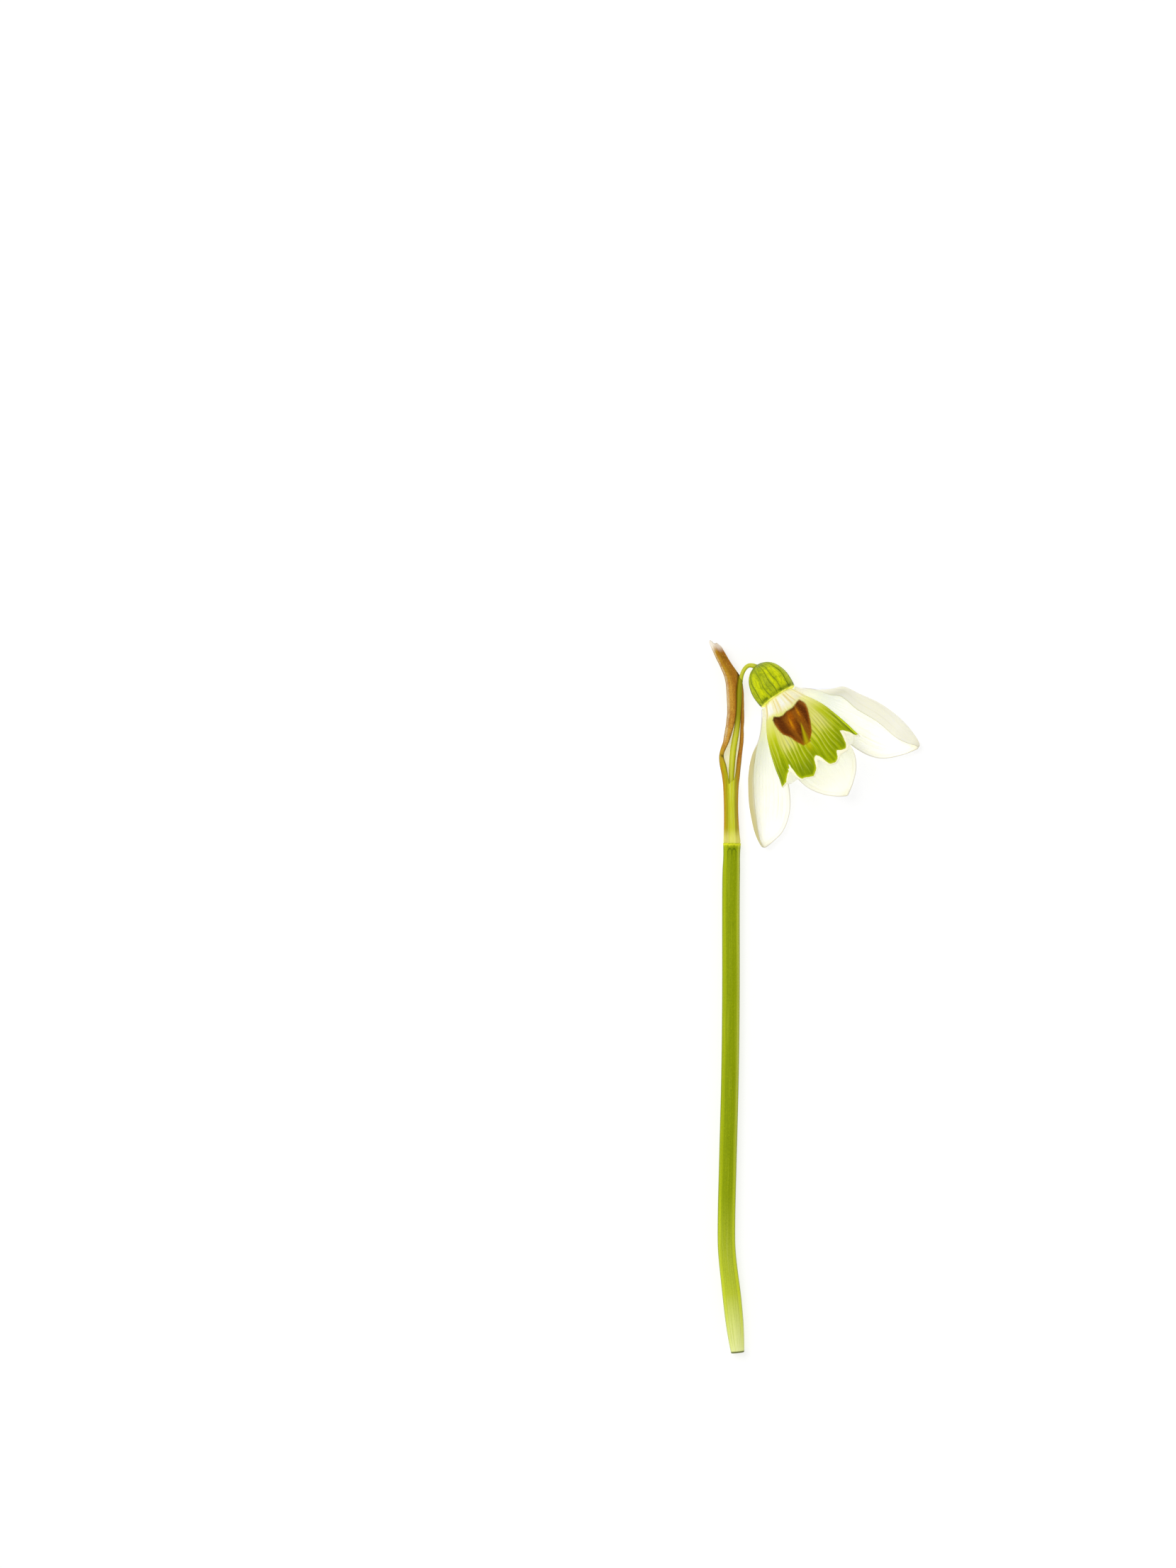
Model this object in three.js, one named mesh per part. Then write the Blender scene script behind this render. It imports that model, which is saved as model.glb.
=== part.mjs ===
// A cut snowdrop lying on a flat surface: scape, sheath, arched flower stalk, ovary, three outer
// tepals, a bell of three notched inner tepals, and six stamens round the style.
// Millimetres. The surface is z = 0, +Y runs up the stem and +Z points away from the surface.
// Plan positions are measured from the middle of the stem's cut end.

import * as THREE from 'three';

const DEG = Math.PI / 180;

// Walls, gaps and mesh fineness
const BLADE = 0.65;
const SHEATH_WALL = 0.6;
const SEAT_GAP = 0.37;
const SURFACE_Z = 0;

// Scape: a slightly bent round stem with a flat underside, narrowed at the cut
const SCAPE_WIDTH = 2.9;
const SCAPE_HEIGHT = 2.5;
const SCAPE_SIDES = 12;
const SCAPE_STEPS = 30;
const SCAPE_CUT_NARROWING = 0.25;
const SCAPE_CUT_TAPER = 4;
const SCAPE_PLAN = [
  [0, 0], [-1.1, 9.4], [-1.85, 17], [-1.9, 22], [-1.7, 31],
  [-1.3, 47], [-1.15, 60], [-1.15, 79], [-1.0, 86],
];

// Sheath: x, y and half-width of its centreline, from the ring at the scape's top to the bent tip
const SHEATH_CENTRE_Z = 1.3;
const SHEATH_HALF_HEIGHT = 1.2;
const SHEATH_HEIGHT_TO_WIDTH = 1.05;
const SHEATH_COLUMNS = 14;
const SHEATH_ROWS = 30;
const SHEATH_CLOSED_ROWS = 8;
const SHEATH_PLAN = [
  [-1.0, 86.3, 1.4], [-1.12, 90, 1.18], [-1.17, 95, 1.2], [-1.25, 100.7, 1.85], [-0.75, 103.5, 1.66],
  [-0.38, 108, 1.5], [-0.45, 112, 1.42], [-1.15, 114.8, 1.08], [-2.15, 116.7, 0.94], [-4.05, 120.15, 0.8],
];
// The slit in front of the sheath: each margin's angle from +X towards +Z, by height up the stem
const SLIT_START_Y = 95.5;
const SLIT_RIGHT = [
  [95.5, 90], [98, 42], [100.7, 12], [104, 2], [112, -4], [114.5, -20], [117, 20], [120.15, 50],
];
const SLIT_LEFT = [
  [95.5, 90], [98, 112], [100.7, 125], [103, 122], [107, 108], [111, 96], [115, 84], [120.15, 82],
];

// Pedicel: x, y, z and radius along its way through the sheath and over the arch
const PEDICEL_SIDES = 10;
const PEDICEL_STEPS = 34;
const PEDICEL_PATH = [
  [-1.02, 86.4, 1.3, 0.28], [-1.15, 91, 1.3, 0.28], [-1.17, 96, 1.3, 0.28], [-0.8, 101.5, 1.65, 0.42],
  [-0.1, 106, 2.0, 0.46], [0.22, 110, 2.2, 0.45], [0.36, 113, 2.7, 0.42], [0.62, 114.6, 3.1, 0.39],
  [1.15, 115.7, 3.6, 0.38], [1.73, 116.15, 3.87, 0.38], [2.31, 116.31, 3.98, 0.38],
];

// Flower head: the middle of the ovary's lower rim, the way its axis points, and its rise
const HEAD_CENTRE = new THREE.Vector3(6.78, 110.96, 5.0);
const HEAD_PLAN_ANGLE = -56.6 * DEG;
const HEAD_RISE = 8 * DEG;

// Pistil: radius against distance along the head's axis, ovary first and then the style
const PISTIL_SEGMENTS = 24;
const OVARY_LENGTH = 6.5;
const OVARY_RIM_RADIUS = 3.25;
const OVARY_PROFILE = [
  [0.45, -6.5], [1.05, -6.3], [1.95, -5.75], [2.72, -4.85], [3.2, -3.75], [3.46, -2.5], [3.43, -1.2],
];
const STYLE_RADIUS = 0.3;
const STYLE_LENGTH = 8.6;

// Bell: half-width and half-height of its oval section, by distance along the head's axis
const BELL_START = 0.45;
const BELL_HALF_WIDTH = [[0.3, 2.5], [2, 3.45], [5.3, 5.35], [9.5, 6.7], [13.2, 7.55], [16, 8.05]];
const BELL_HALF_HEIGHT = [[0.3, 2.5], [2, 3.05], [6, 3.95], [13, 4.75], [16, 5.1]];
// Each inner tepal's length at azimuths round the bell, clockwise from the side facing up
const FRONT_LOBES = [
  [-45, 12.3], [-41, 13.0], [-35, 14.5], [-27, 14.9], [-18, 15.4], [-11, 15.0], [-6.5, 14.2],
  [-3.2, 13.3], [0.3, 14.0], [4.3, 15.1], [11.5, 15.6], [18, 15.3], [24, 14.75], [33, 14.7],
  [40.5, 14.2], [46, 13.2], [51, 12.4],
];
const RIGHT_LOBES = [
  [58.5, 12.4], [66, 13.1], [80, 13.2], [93, 13.3], [101, 12.7], [107, 11.8],
  [113, 12.7], [122, 13.5], [140, 13.8], [158, 13.5], [174, 12.3],
];
const LEFT_LOBES = [
  [-52.5, 12.4], [-60, 13.4], [-75, 13.5], [-91, 13.4], [-100, 12.7], [-106, 11.8],
  [-112, 12.8], [-121, 13.5], [-138, 13.8], [-158, 13.4], [-174, 12.3],
];
const INNER_COLUMNS = 26;
const INNER_ROWS = 9;

// Stamens: x outwards and y along the head's axis, with tangential and radial half-widths
const STAMEN_COUNT = 6;
const STAMEN_SIDES = 8;
const STAMEN_STATIONS = [
  [1.45, 0.3, 0.28, 0.28], [1.6, 1.2, 0.24, 0.24], [1.8, 2.0, 0.24, 0.24], [1.95, 2.3, 0.66, 0.5],
  [2.08, 3.0, 0.76, 0.62], [2.05, 4.2, 0.76, 0.6], [1.75, 5.8, 0.62, 0.5], [1.35, 7.2, 0.42, 0.36],
  [1.0, 8.4, 0.24, 0.24], [0.86, 9.2, 0.12, 0.12],
];

// Outer tepals: where the claw leaves the ovary's rim
const CLAW_RADIUS = 3.75;
const CLAW_START = 0.5;
const CLAW_AZIMUTH = 118 * DEG;
const TEPAL_COLUMNS = 8;
const TEPAL_ROWS = 16;
const UNTWIST_BY = 0.4;
// A tepal's section, out from its midrib: shares of its columns in the rise, fold and margin
const SECTION_SHARES = [0.5, 0.3, 0.2];
const FOLD_RADIUS = 0.85;
const FULL_FOLD = 0.8;
const LEAST_RISE = 0.05;

// Each outer tepal: the midrib's tip and sideways bow in plan, its height above the surface, how
// far the outer and inner margins reach from the midrib, and the width of the folded-over margin.
// Every list runs from the claw, 0, to the tip, 1.
const RIGHT_TEPAL = {
  tip: [30.55, 102.35],
  bow: 0.55,
  side: 1,
  height: [[0.15, 2.9], [0.3, 1.55], [0.45, 0.6], [0.58, 0.27], [0.75, 0.27], [0.88, 0.7], [1, 1.5]],
  outer: [
    [0, 0.55], [0.1, 1.6], [0.25, 3.1], [0.4, 3.2], [0.55, 3.15], [0.7, 2.8], [0.85, 1.8],
    [0.96, 0.7], [1, 0.25],
  ],
  inner: [
    [0, 0.55], [0.12, 1.05], [0.25, 2.4], [0.4, 3.9], [0.55, 5.0], [0.7, 5.3], [0.82, 4.5],
    [0.93, 2.3], [1, 0.25],
  ],
  fold: [[0, 0], [0.17, 0.05], [0.3, 1.3], [0.45, 2.3], [0.6, 2.2], [0.75, 2.2], [0.9, 1.1], [1, 0]],
  foldTurn: 135 * DEG,
  outerSlope: 22 * DEG,
  innerSlope: 36 * DEG,
};
const LEFT_TEPAL = {
  tip: [4.5, 85.5],
  bow: 0.4,
  side: -1,
  height: [[0.15, 2.9], [0.3, 1.6], [0.45, 0.6], [0.58, 0.27], [0.75, 0.27], [0.88, 0.75], [1, 1.6]],
  outer: [
    [0, 0.55], [0.12, 0.95], [0.25, 1.9], [0.4, 2.75], [0.55, 3.05], [0.7, 2.75], [0.85, 1.75],
    [0.96, 0.8], [1, 0.3],
  ],
  inner: [
    [0, 0.5], [0.12, 0.9], [0.25, 2.1], [0.4, 3.1], [0.55, 3.6], [0.72, 3.85], [0.85, 3.1],
    [0.95, 1.3], [1, 0.25],
  ],
  fold: [[0, 0], [0.17, 0.05], [0.3, 0.6], [0.5, 0.75], [0.75, 0.8], [0.9, 0.4], [1, 0]],
  foldTurn: 125 * DEG,
  outerSlope: 38 * DEG,
  innerSlope: 40 * DEG,
};
const BACK_TEPAL = {
  tip: [18.45, 94.35],
  bow: -0.5,
  side: 0,
  height: [[0.1, 0.75], [0.2, 0.27], [0.66, 0.27], [0.78, 0.75], [0.9, 2.2], [1, 4.0]],
  outer: [
    [0, 0.75], [0.12, 1.5], [0.3, 3.4], [0.45, 4.7], [0.6, 5.75], [0.75, 5.6], [0.87, 4.3],
    [0.95, 2.2], [1, 0.3],
  ],
  inner: [
    [0, 0.75], [0.12, 1.5], [0.3, 3.2], [0.45, 4.3], [0.6, 4.7], [0.75, 4.2], [0.87, 2.9],
    [0.95, 1.4], [1, 0.3],
  ],
  fold: [[0, 0], [1, 0]],
  foldTurn: 0,
  outerSlope: 10 * DEG,
  innerSlope: 12 * DEG,
};

// Colours and finish
const finish = (color, roughness) => new THREE.MeshStandardMaterial({ color, roughness, metalness: 0 });
const STEM_GREEN = finish(0x9fb326, 0.5);
const SHEATH_BROWN = finish(0xa9784a, 0.65);
const PEDICEL_GREEN = finish(0xb4c832, 0.5);
const OVARY_GREEN = finish(0x9dbb1a, 0.4);
const TEPAL_WHITE = finish(0xf6f5ec, 0.6);
const BELL_GREEN = finish(0x9bb53a, 0.55);
const ANTHER_BROWN = finish(0x9a5a1c, 0.7);

// Smooth curve through [x, y] knots: cubic pieces whose slopes average their neighbours'
function through(knots, x) {
  const last = knots.length - 1;
  if (x <= knots[0][0]) return knots[0][1];
  if (x >= knots[last][0]) return knots[last][1];
  let i = 0;
  while (x > knots[i + 1][0]) i += 1;
  const slope = (j) => {
    const before = knots[Math.max(j - 1, 0)];
    const after = knots[Math.min(j + 1, last)];
    return (after[1] - before[1]) / (after[0] - before[0]);
  };
  const width = knots[i + 1][0] - knots[i][0];
  const t = (x - knots[i][0]) / width;
  const rise = knots[i + 1][1] - knots[i][1];
  const a = slope(i) * width - rise;
  const b = rise - slope(i + 1) * width;
  return knots[i][1] + t * rise + t * (1 - t) * ((1 - t) * a + t * b);
}

// Step for slopes that are worked out from two points nearby
const SMALL_STEP = 1e-3;

const smoothStep = (x) => THREE.MathUtils.smoothstep(x, 0, 1);
const vector = ([x, y, z]) => new THREE.Vector3(x, y, z);
const pathOf = (points) => new THREE.CatmullRomCurve3(points.map(vector));

// Closed geometry from points and faces, turned so that its faces point out
function closedGeometry(points, faces) {
  let volume = 0;
  for (const [a, b, c] of faces) {
    volume += points[a].dot(points[b].clone().cross(points[c]));
  }
  const outward = volume > 0 ? faces : faces.map(([a, b, c]) => [a, c, b]);
  const numbers = points.flatMap((point) => point.toArray());
  const geometry = new THREE.BufferGeometry();
  geometry.setAttribute('position', new THREE.Float32BufferAttribute(numbers, 3));
  geometry.setIndex(outward.flat());
  geometry.computeVertexNormals();
  return geometry;
}

// A round body: rings of points, one for each station, closed by a fan at each end
function ringBody(rings) {
  const sides = rings[0].length;
  const points = rings.flat();
  const faces = [];
  for (let i = 0; i + 1 < rings.length; i += 1) {
    for (let j = 0; j < sides; j += 1) {
      const a = i * sides + j;
      const b = i * sides + ((j + 1) % sides);
      faces.push([a, b, b + sides], [a, b + sides, a + sides]);
    }
  }
  for (const [ring, start] of [[rings[0], 0], [rings[rings.length - 1], (rings.length - 1) * sides]]) {
    const centre = ring.reduce((sum, p) => sum.add(p), new THREE.Vector3()).divideScalar(sides);
    points.push(centre);
    for (let j = 0; j < sides; j += 1) {
      const edge = [start + j, start + ((j + 1) % sides)];
      faces.push(start === 0 ? [edge[1], edge[0], points.length - 1] : [edge[0], edge[1], points.length - 1]);
    }
  }
  return closedGeometry(points, faces);
}

// A stem along a curve lying near the surface: oval rings square to the curve
function stemBody(curve, steps, sides, halfWidth, halfHeight) {
  const rings = [];
  for (let i = 0; i <= steps; i += 1) {
    const t = i / steps;
    const centre = curve.getPointAt(t);
    const along = curve.getTangentAt(t);
    const across = new THREE.Vector3(along.y, -along.x, 0).normalize();
    const up = across.clone().cross(along);
    const ring = [];
    for (let j = 0; j < sides; j += 1) {
      const angle = ((j + 0.5) / sides) * 2 * Math.PI;
      const point = centre.clone();
      point.addScaledVector(across, halfWidth(t) * Math.cos(angle));
      point.addScaledVector(up, halfHeight(t) * Math.sin(angle));
      ring.push(point);
    }
    rings.push(ring);
  }
  return ringBody(rings);
}

// A blade of even thickness round a middle surface, given as a function of u and v from 0 to 1.
// Both faces are split into triangles alike. Rows up to joinedRows are closed round into a tube.
function bladeBody(surface, columns, rows, thickness, joinedRows = -1) {
  const points = [];
  for (const face of [0.5, -0.5]) {
    for (let i = 0; i <= rows; i += 1) {
      for (let j = 0; j <= columns; j += 1) {
        const u = j / columns;
        const v = i / rows;
        const alongU = surface(u + SMALL_STEP, v).sub(surface(u - SMALL_STEP, v));
        const alongV = surface(u, v + SMALL_STEP).sub(surface(u, v - SMALL_STEP));
        const normal = alongU.cross(alongV).normalize();
        const point = surface(u, v).addScaledVector(normal, face * thickness);
        point.z = Math.max(point.z, surface.floor ?? -Infinity);
        points.push(point);
      }
    }
  }
  const back = (rows + 1) * (columns + 1);
  const at = (i, j) => i * (columns + 1) + (i <= joinedRows && j === columns ? 0 : j);
  const faces = [];
  const quad = (a, b, c, d) => {
    if (a !== b) faces.push([a, b, c]);
    if (c !== d) faces.push([a, c, d]);
  };
  for (let i = 0; i < rows; i += 1) {
    for (let j = 0; j < columns; j += 1) {
      const corners = [at(i, j), at(i, j + 1), at(i + 1, j + 1), at(i + 1, j)];
      quad(...corners);
      faces.push([corners[0] + back, corners[2] + back, corners[1] + back]);
      faces.push([corners[0] + back, corners[3] + back, corners[2] + back]);
    }
    if (i >= joinedRows) {
      quad(at(i, 0), at(i + 1, 0), at(i + 1, 0) + back, at(i, 0) + back);
      quad(at(i + 1, columns), at(i, columns), at(i, columns) + back, at(i + 1, columns) + back);
    }
  }
  for (let j = 0; j < columns; j += 1) {
    quad(at(0, j + 1), at(0, j), at(0, j) + back, at(0, j + 1) + back);
    quad(at(rows, j), at(rows, j + 1), at(rows, j + 1) + back, at(rows, j) + back);
  }
  return closedGeometry(points, faces);
}

function piece(name, geometry, material) {
  const mesh = new THREE.Mesh(geometry, material);
  mesh.name = name;
  return mesh;
}

function makeScape() {
  const centreZ = (SCAPE_HEIGHT / 2) * Math.cos(Math.PI / SCAPE_SIDES);
  const curve = pathOf(SCAPE_PLAN.map(([x, y]) => [x, y, centreZ]));
  const length = curve.getLength();
  const narrowing = (t) => 1 - SCAPE_CUT_NARROWING * (1 - smoothStep((t * length) / SCAPE_CUT_TAPER));
  const halfWidth = (t) => (SCAPE_WIDTH / 2) * narrowing(t);
  const halfHeight = (t) => (SCAPE_HEIGHT / 2) * narrowing(t);
  return piece('scape', stemBody(curve, SCAPE_STEPS, SCAPE_SIDES, halfWidth, halfHeight), STEM_GREEN);
}

function makePedicel() {
  const curve = pathOf(PEDICEL_PATH);
  const last = PEDICEL_PATH.length - 1;
  const radii = PEDICEL_PATH.map((point, i) => {
    const along = PEDICEL_PATH.slice(0, i + 1).reduce((sum, p, k, list) => {
      if (k === 0) return 0;
      return sum + Math.hypot(p[0] - list[k - 1][0], p[1] - list[k - 1][1], p[2] - list[k - 1][2]);
    }, 0);
    return [along, point[3]];
  });
  const radius = (t) => through(radii, t * radii[last][0]);
  return piece('pedicel', stemBody(curve, PEDICEL_STEPS, PEDICEL_SIDES, radius, radius), PEDICEL_GREEN);
}

// The sheath: a closed tube round the pedicel below, then an open trough between two margins
function makeSpathe() {
  const curve = pathOf(SHEATH_PLAN.map(([x, y]) => [x, y, SHEATH_CENTRE_Z]));
  const halfWidths = SHEATH_PLAN.map(([, y, half]) => [y, half]);
  const ring = SCAPE_PLAN[SCAPE_PLAN.length - 1][1] + SEAT_GAP;
  const rowY = (v) => {
    const joined = SHEATH_CLOSED_ROWS / SHEATH_ROWS;
    const top = SHEATH_PLAN[SHEATH_PLAN.length - 1][1];
    if (v < joined) return ring + (SLIT_START_Y - ring) * (v / joined);
    return SLIT_START_Y + (top - SLIT_START_Y) * ((v - joined) / (1 - joined));
  };
  const paramAtY = (y) => {
    let low = 0;
    let high = 1;
    for (let k = 0; k < 30; k += 1) {
      const middle = (low + high) / 2;
      if (curve.getPoint(middle).y < y) low = middle;
      else high = middle;
    }
    return (low + high) / 2;
  };
  const surface = (u, v) => {
    const y = rowY(v);
    const t = paramAtY(y);
    const centre = curve.getPoint(t);
    const along = curve.getTangent(t);
    const across = new THREE.Vector3(along.y, -along.x, 0).normalize();
    const right = through(SLIT_RIGHT, y) * DEG;
    const left = through(SLIT_LEFT, y) * DEG;
    const angle = right + u * (left - right - 2 * Math.PI);
    const halfWidth = through(halfWidths, y) - SHEATH_WALL / 2;
    const height = Math.min(SHEATH_HALF_HEIGHT, through(halfWidths, y) * SHEATH_HEIGHT_TO_WIDTH);
    const halfHeight = height - SHEATH_WALL / 2;
    centre.addScaledVector(across, halfWidth * Math.cos(angle));
    centre.z += halfHeight * Math.sin(angle);
    return centre;
  };
  const geometry = bladeBody(surface, SHEATH_COLUMNS, SHEATH_ROWS, SHEATH_WALL, SHEATH_CLOSED_ROWS);
  return piece('spathe', geometry, SHEATH_BROWN);
}

function makePistil() {
  const outline = [
    [0, -OVARY_LENGTH], ...OVARY_PROFILE, [OVARY_RIM_RADIUS, 0],
    [STYLE_RADIUS, 0], [STYLE_RADIUS, STYLE_LENGTH], [0, STYLE_LENGTH],
  ];
  const profile = outline.map(([radius, along]) => new THREE.Vector2(radius, along));
  const geometry = new THREE.LatheGeometry(profile, PISTIL_SEGMENTS);
  geometry.rotateX(Math.PI / 2);
  return piece('pistil', geometry, OVARY_GREEN);
}

// One stamen, standing out along +X from the head's axis, +Z
function stamenGeometry() {
  const rings = STAMEN_STATIONS.map(([out, along, tangential, radial]) => {
    const ring = [];
    for (let j = 0; j < STAMEN_SIDES; j += 1) {
      const angle = ((j + 0.5) / STAMEN_SIDES) * 2 * Math.PI;
      ring.push(new THREE.Vector3(out + radial * Math.cos(angle), tangential * Math.sin(angle), along));
    }
    return ring;
  });
  return ringBody(rings);
}

// An inner tepal between two azimuths of the bell, as long as its lobes say
function makeInnerTepal(name, lobes) {
  const first = lobes[0][0];
  const last = lobes[lobes.length - 1][0];
  const ordered = first < last ? lobes : [...lobes].reverse();
  const surface = (u, v) => {
    const azimuth = first + (last - first) * u;
    const length = through(ordered, azimuth);
    const along = BELL_START + (length - BELL_START) * v;
    const x = through(BELL_HALF_WIDTH, along) * Math.sin(azimuth * DEG);
    const y = through(BELL_HALF_HEIGHT, along) * Math.cos(azimuth * DEG);
    return new THREE.Vector3(x, y, along);
  };
  return piece(name, bladeBody(surface, INNER_COLUMNS, INNER_ROWS, BLADE), BELL_GREEN);
}

// Half of an outer tepal's section: a shallow rise to the fold, the fold, and the margin it turns
// over. Returns how far a point lies from the midrib and above it, for e from 0 to 1.
function halfSection(reach, fold, slope, turn, e) {
  const foldPart = fold > 0 ? turn * smoothStep(fold / FULL_FOLD) : 0;
  const end = slope + foldPart;
  const round = end < Math.PI / 2
    ? FOLD_RADIUS * (Math.sin(end) - Math.sin(slope)) + fold * Math.cos(end)
    : FOLD_RADIUS * (1 - Math.sin(slope));
  const rise = Math.max(reach - round, LEAST_RISE) / Math.sin(slope);
  const [risePart, turnPart, marginPart] = SECTION_SHARES;
  let angle = slope * Math.min(e / risePart, 1);
  let out = rise * Math.sin(angle);
  let up = rise * (1 - Math.cos(angle));
  angle = slope + foldPart * THREE.MathUtils.clamp((e - risePart) / turnPart, 0, 1);
  out += FOLD_RADIUS * (Math.sin(angle) - Math.sin(slope));
  up += FOLD_RADIUS * (Math.cos(slope) - Math.cos(angle));
  const margin = fold * Math.max((e - risePart - turnPart) / marginPart, 0);
  out += margin * Math.cos(end);
  up += margin * Math.sin(end);
  return [out, up];
}

function makeOuterTepal(name, shape, head) {
  const azimuth = shape.side === 0 ? Math.PI : shape.side * CLAW_AZIMUTH;
  const round = new THREE.Vector3(Math.sin(azimuth), Math.cos(azimuth), 0).multiplyScalar(CLAW_RADIUS);
  const claw = head.localToWorld(round.clone().setZ(CLAW_START));
  const inwards = head.localToWorld(new THREE.Vector3(0, 0, CLAW_START)).sub(claw).normalize();
  const tip = new THREE.Vector3(shape.tip[0], shape.tip[1], 0);
  const run = tip.clone().sub(claw).setZ(0);
  const sideways = new THREE.Vector3(-run.y, run.x, 0).normalize();
  const midrib = (t) => {
    const point = claw.clone().setZ(0).addScaledVector(run, t);
    point.addScaledVector(sideways, 4 * shape.bow * t * (1 - t));
    point.z = through([[0, claw.z], ...shape.height], t);
    return point;
  };
  const handed = shape.side < 0 ? -1 : 1;
  const surface = (u, v) => {
    const t = THREE.MathUtils.clamp(v, 0, 1);
    const along = midrib(t + SMALL_STEP).sub(midrib(t - SMALL_STEP)).normalize();
    const centre = midrib(t).addScaledVector(along, (v - t) * run.length());
    const untwisted = smoothStep(t / UNTWIST_BY);
    const up = inwards.clone().lerp(new THREE.Vector3(0, 0, 1), untwisted);
    const across = up.cross(along).normalize().multiplyScalar(handed);
    const over = across.clone().cross(along).multiplyScalar(-handed);
    const outerSide = u > 0.5;
    const reach = through(outerSide ? shape.outer : shape.inner, t);
    const fold = outerSide ? Math.max(through(shape.fold, t), 0) : 0;
    const slope = outerSide ? shape.outerSlope : shape.innerSlope;
    const [out, rise] = halfSection(reach, fold, slope, shape.foldTurn, Math.abs(u - 0.5) * 2);
    centre.addScaledVector(across, outerSide ? out : -out);
    return centre.addScaledVector(over, rise);
  };
  surface.floor = SURFACE_Z;
  return piece(name, bladeBody(surface, 2 * TEPAL_COLUMNS, TEPAL_ROWS, BLADE), TEPAL_WHITE);
}

// The head's own frame: +X to its right, +Y up from the surface, +Z along its axis to the mouth
const head = new THREE.Group();
const axis = new THREE.Vector3(Math.cos(HEAD_PLAN_ANGLE), Math.sin(HEAD_PLAN_ANGLE), 0);
const right = new THREE.Vector3(-axis.y, axis.x, 0);
axis.multiplyScalar(Math.cos(HEAD_RISE)).setZ(Math.sin(HEAD_RISE));
head.position.copy(HEAD_CENTRE);
head.quaternion.setFromRotationMatrix(new THREE.Matrix4().makeBasis(right, axis.clone().cross(right), axis));
head.updateMatrixWorld(true);

head.add(makePistil());
head.add(makeInnerTepal('inner_tepal_front', FRONT_LOBES));
head.add(makeInnerTepal('inner_tepal_right', RIGHT_LOBES));
head.add(makeInnerTepal('inner_tepal_left', LEFT_LOBES));
for (let i = 0; i < STAMEN_COUNT; i += 1) {
  const stamen = piece(`stamen_${i + 1}`, stamenGeometry(), ANTHER_BROWN);
  stamen.rotation.z = ((i + 0.5) / STAMEN_COUNT) * 2 * Math.PI;
  head.add(stamen);
}

const flower = new THREE.Group();
flower.add(makeScape());
flower.add(makeSpathe());
flower.add(makePedicel());
flower.add(makeOuterTepal('outer_tepal_right', RIGHT_TEPAL, head));
flower.add(makeOuterTepal('outer_tepal_left', LEFT_TEPAL, head));
flower.add(makeOuterTepal('outer_tepal_back', BACK_TEPAL, head));
flower.add(head);

// The part's origin: on the surface, under the middle of the whole flower
const object = new THREE.Group();
object.add(flower);
object.updateMatrixWorld(true);
const bounds = new THREE.Box3().setFromObject(flower, true);
const middle = bounds.getCenter(new THREE.Vector3());
flower.position.set(-middle.x, -middle.y, -bounds.min.z);

export default object;
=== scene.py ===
"""A cut snowdrop lying on a pale surface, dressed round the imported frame.

Lengths are in millimetres until a mesh is made. Plan positions are measured from the middle of the
stem's cut end, with x to the right, y up the stem and z up from the surface. A mark is a number
from 0 to 1 that a mesh carries for each of its points, and its paint reads it as a mask.
"""

import math

import bpy
import numpy as np
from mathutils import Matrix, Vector


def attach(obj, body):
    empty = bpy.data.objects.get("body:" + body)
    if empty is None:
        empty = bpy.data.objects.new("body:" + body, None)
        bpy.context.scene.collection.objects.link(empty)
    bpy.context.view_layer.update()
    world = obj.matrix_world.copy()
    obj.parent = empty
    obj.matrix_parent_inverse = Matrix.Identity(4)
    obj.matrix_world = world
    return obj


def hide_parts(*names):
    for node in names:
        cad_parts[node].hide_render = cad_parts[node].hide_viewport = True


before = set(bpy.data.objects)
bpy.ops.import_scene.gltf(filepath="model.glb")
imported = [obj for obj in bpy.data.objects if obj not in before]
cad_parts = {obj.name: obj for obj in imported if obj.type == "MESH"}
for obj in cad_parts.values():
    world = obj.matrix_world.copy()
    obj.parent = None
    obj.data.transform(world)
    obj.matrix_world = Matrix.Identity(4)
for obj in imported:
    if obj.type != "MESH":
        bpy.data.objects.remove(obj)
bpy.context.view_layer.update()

MM = 0.001

# The photograph: its size, its scale on the flower, and the pixel of the stem's cut end
PHOTO_WIDTH_PX = 1659
PHOTO_HEIGHT_PX = 2212
MM_PER_PX = 0.12
CUT_END_PX = (1040.6, 1908.0)
LENS_MM = 200.0
SENSOR_MM = 36.0
FOCUS_HEIGHT = 1.25

# Scape
SCAPE_HALF_WIDTH = 1.47
SCAPE_HALF_HEIGHT = 1.25
SCAPE_CENTRE_Z = 1.207
SCAPE_CUT_NARROWING = 0.25
SCAPE_CUT_TAPER = 6.5
SCAPE_TOP = 86.25
# Heights below which the stem is paler, and very pale
SCAPE_FOOT = 27.0
SCAPE_PALE_END = 10.0
# Its centreline in plan
SCAPE_PLAN = [
    (0, 0), (-0.98, 9.4), (-1.82, 17), (-1.9, 22), (-1.7, 31), (-1.3, 47), (-1.15, 60), (-1.13, 79),
    (-0.96, 86.3),
]

# The cut end's face from its middle out: share of the stem's radius, and how far in it stands
CUT_FACE = [(0.1, 0.18), (0.35, 0.15), (0.7, 0.0), (0.88, -0.06), (0.97, -0.02)]

# Sheath
SHEATH_CENTRE_Z = 1.3
SHEATH_HALF_HEIGHT = 1.2
SHEATH_HEIGHT_TO_WIDTH = 1.05
SHEATH_FOOT = 86.15
SHEATH_WALL = 0.3
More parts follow.
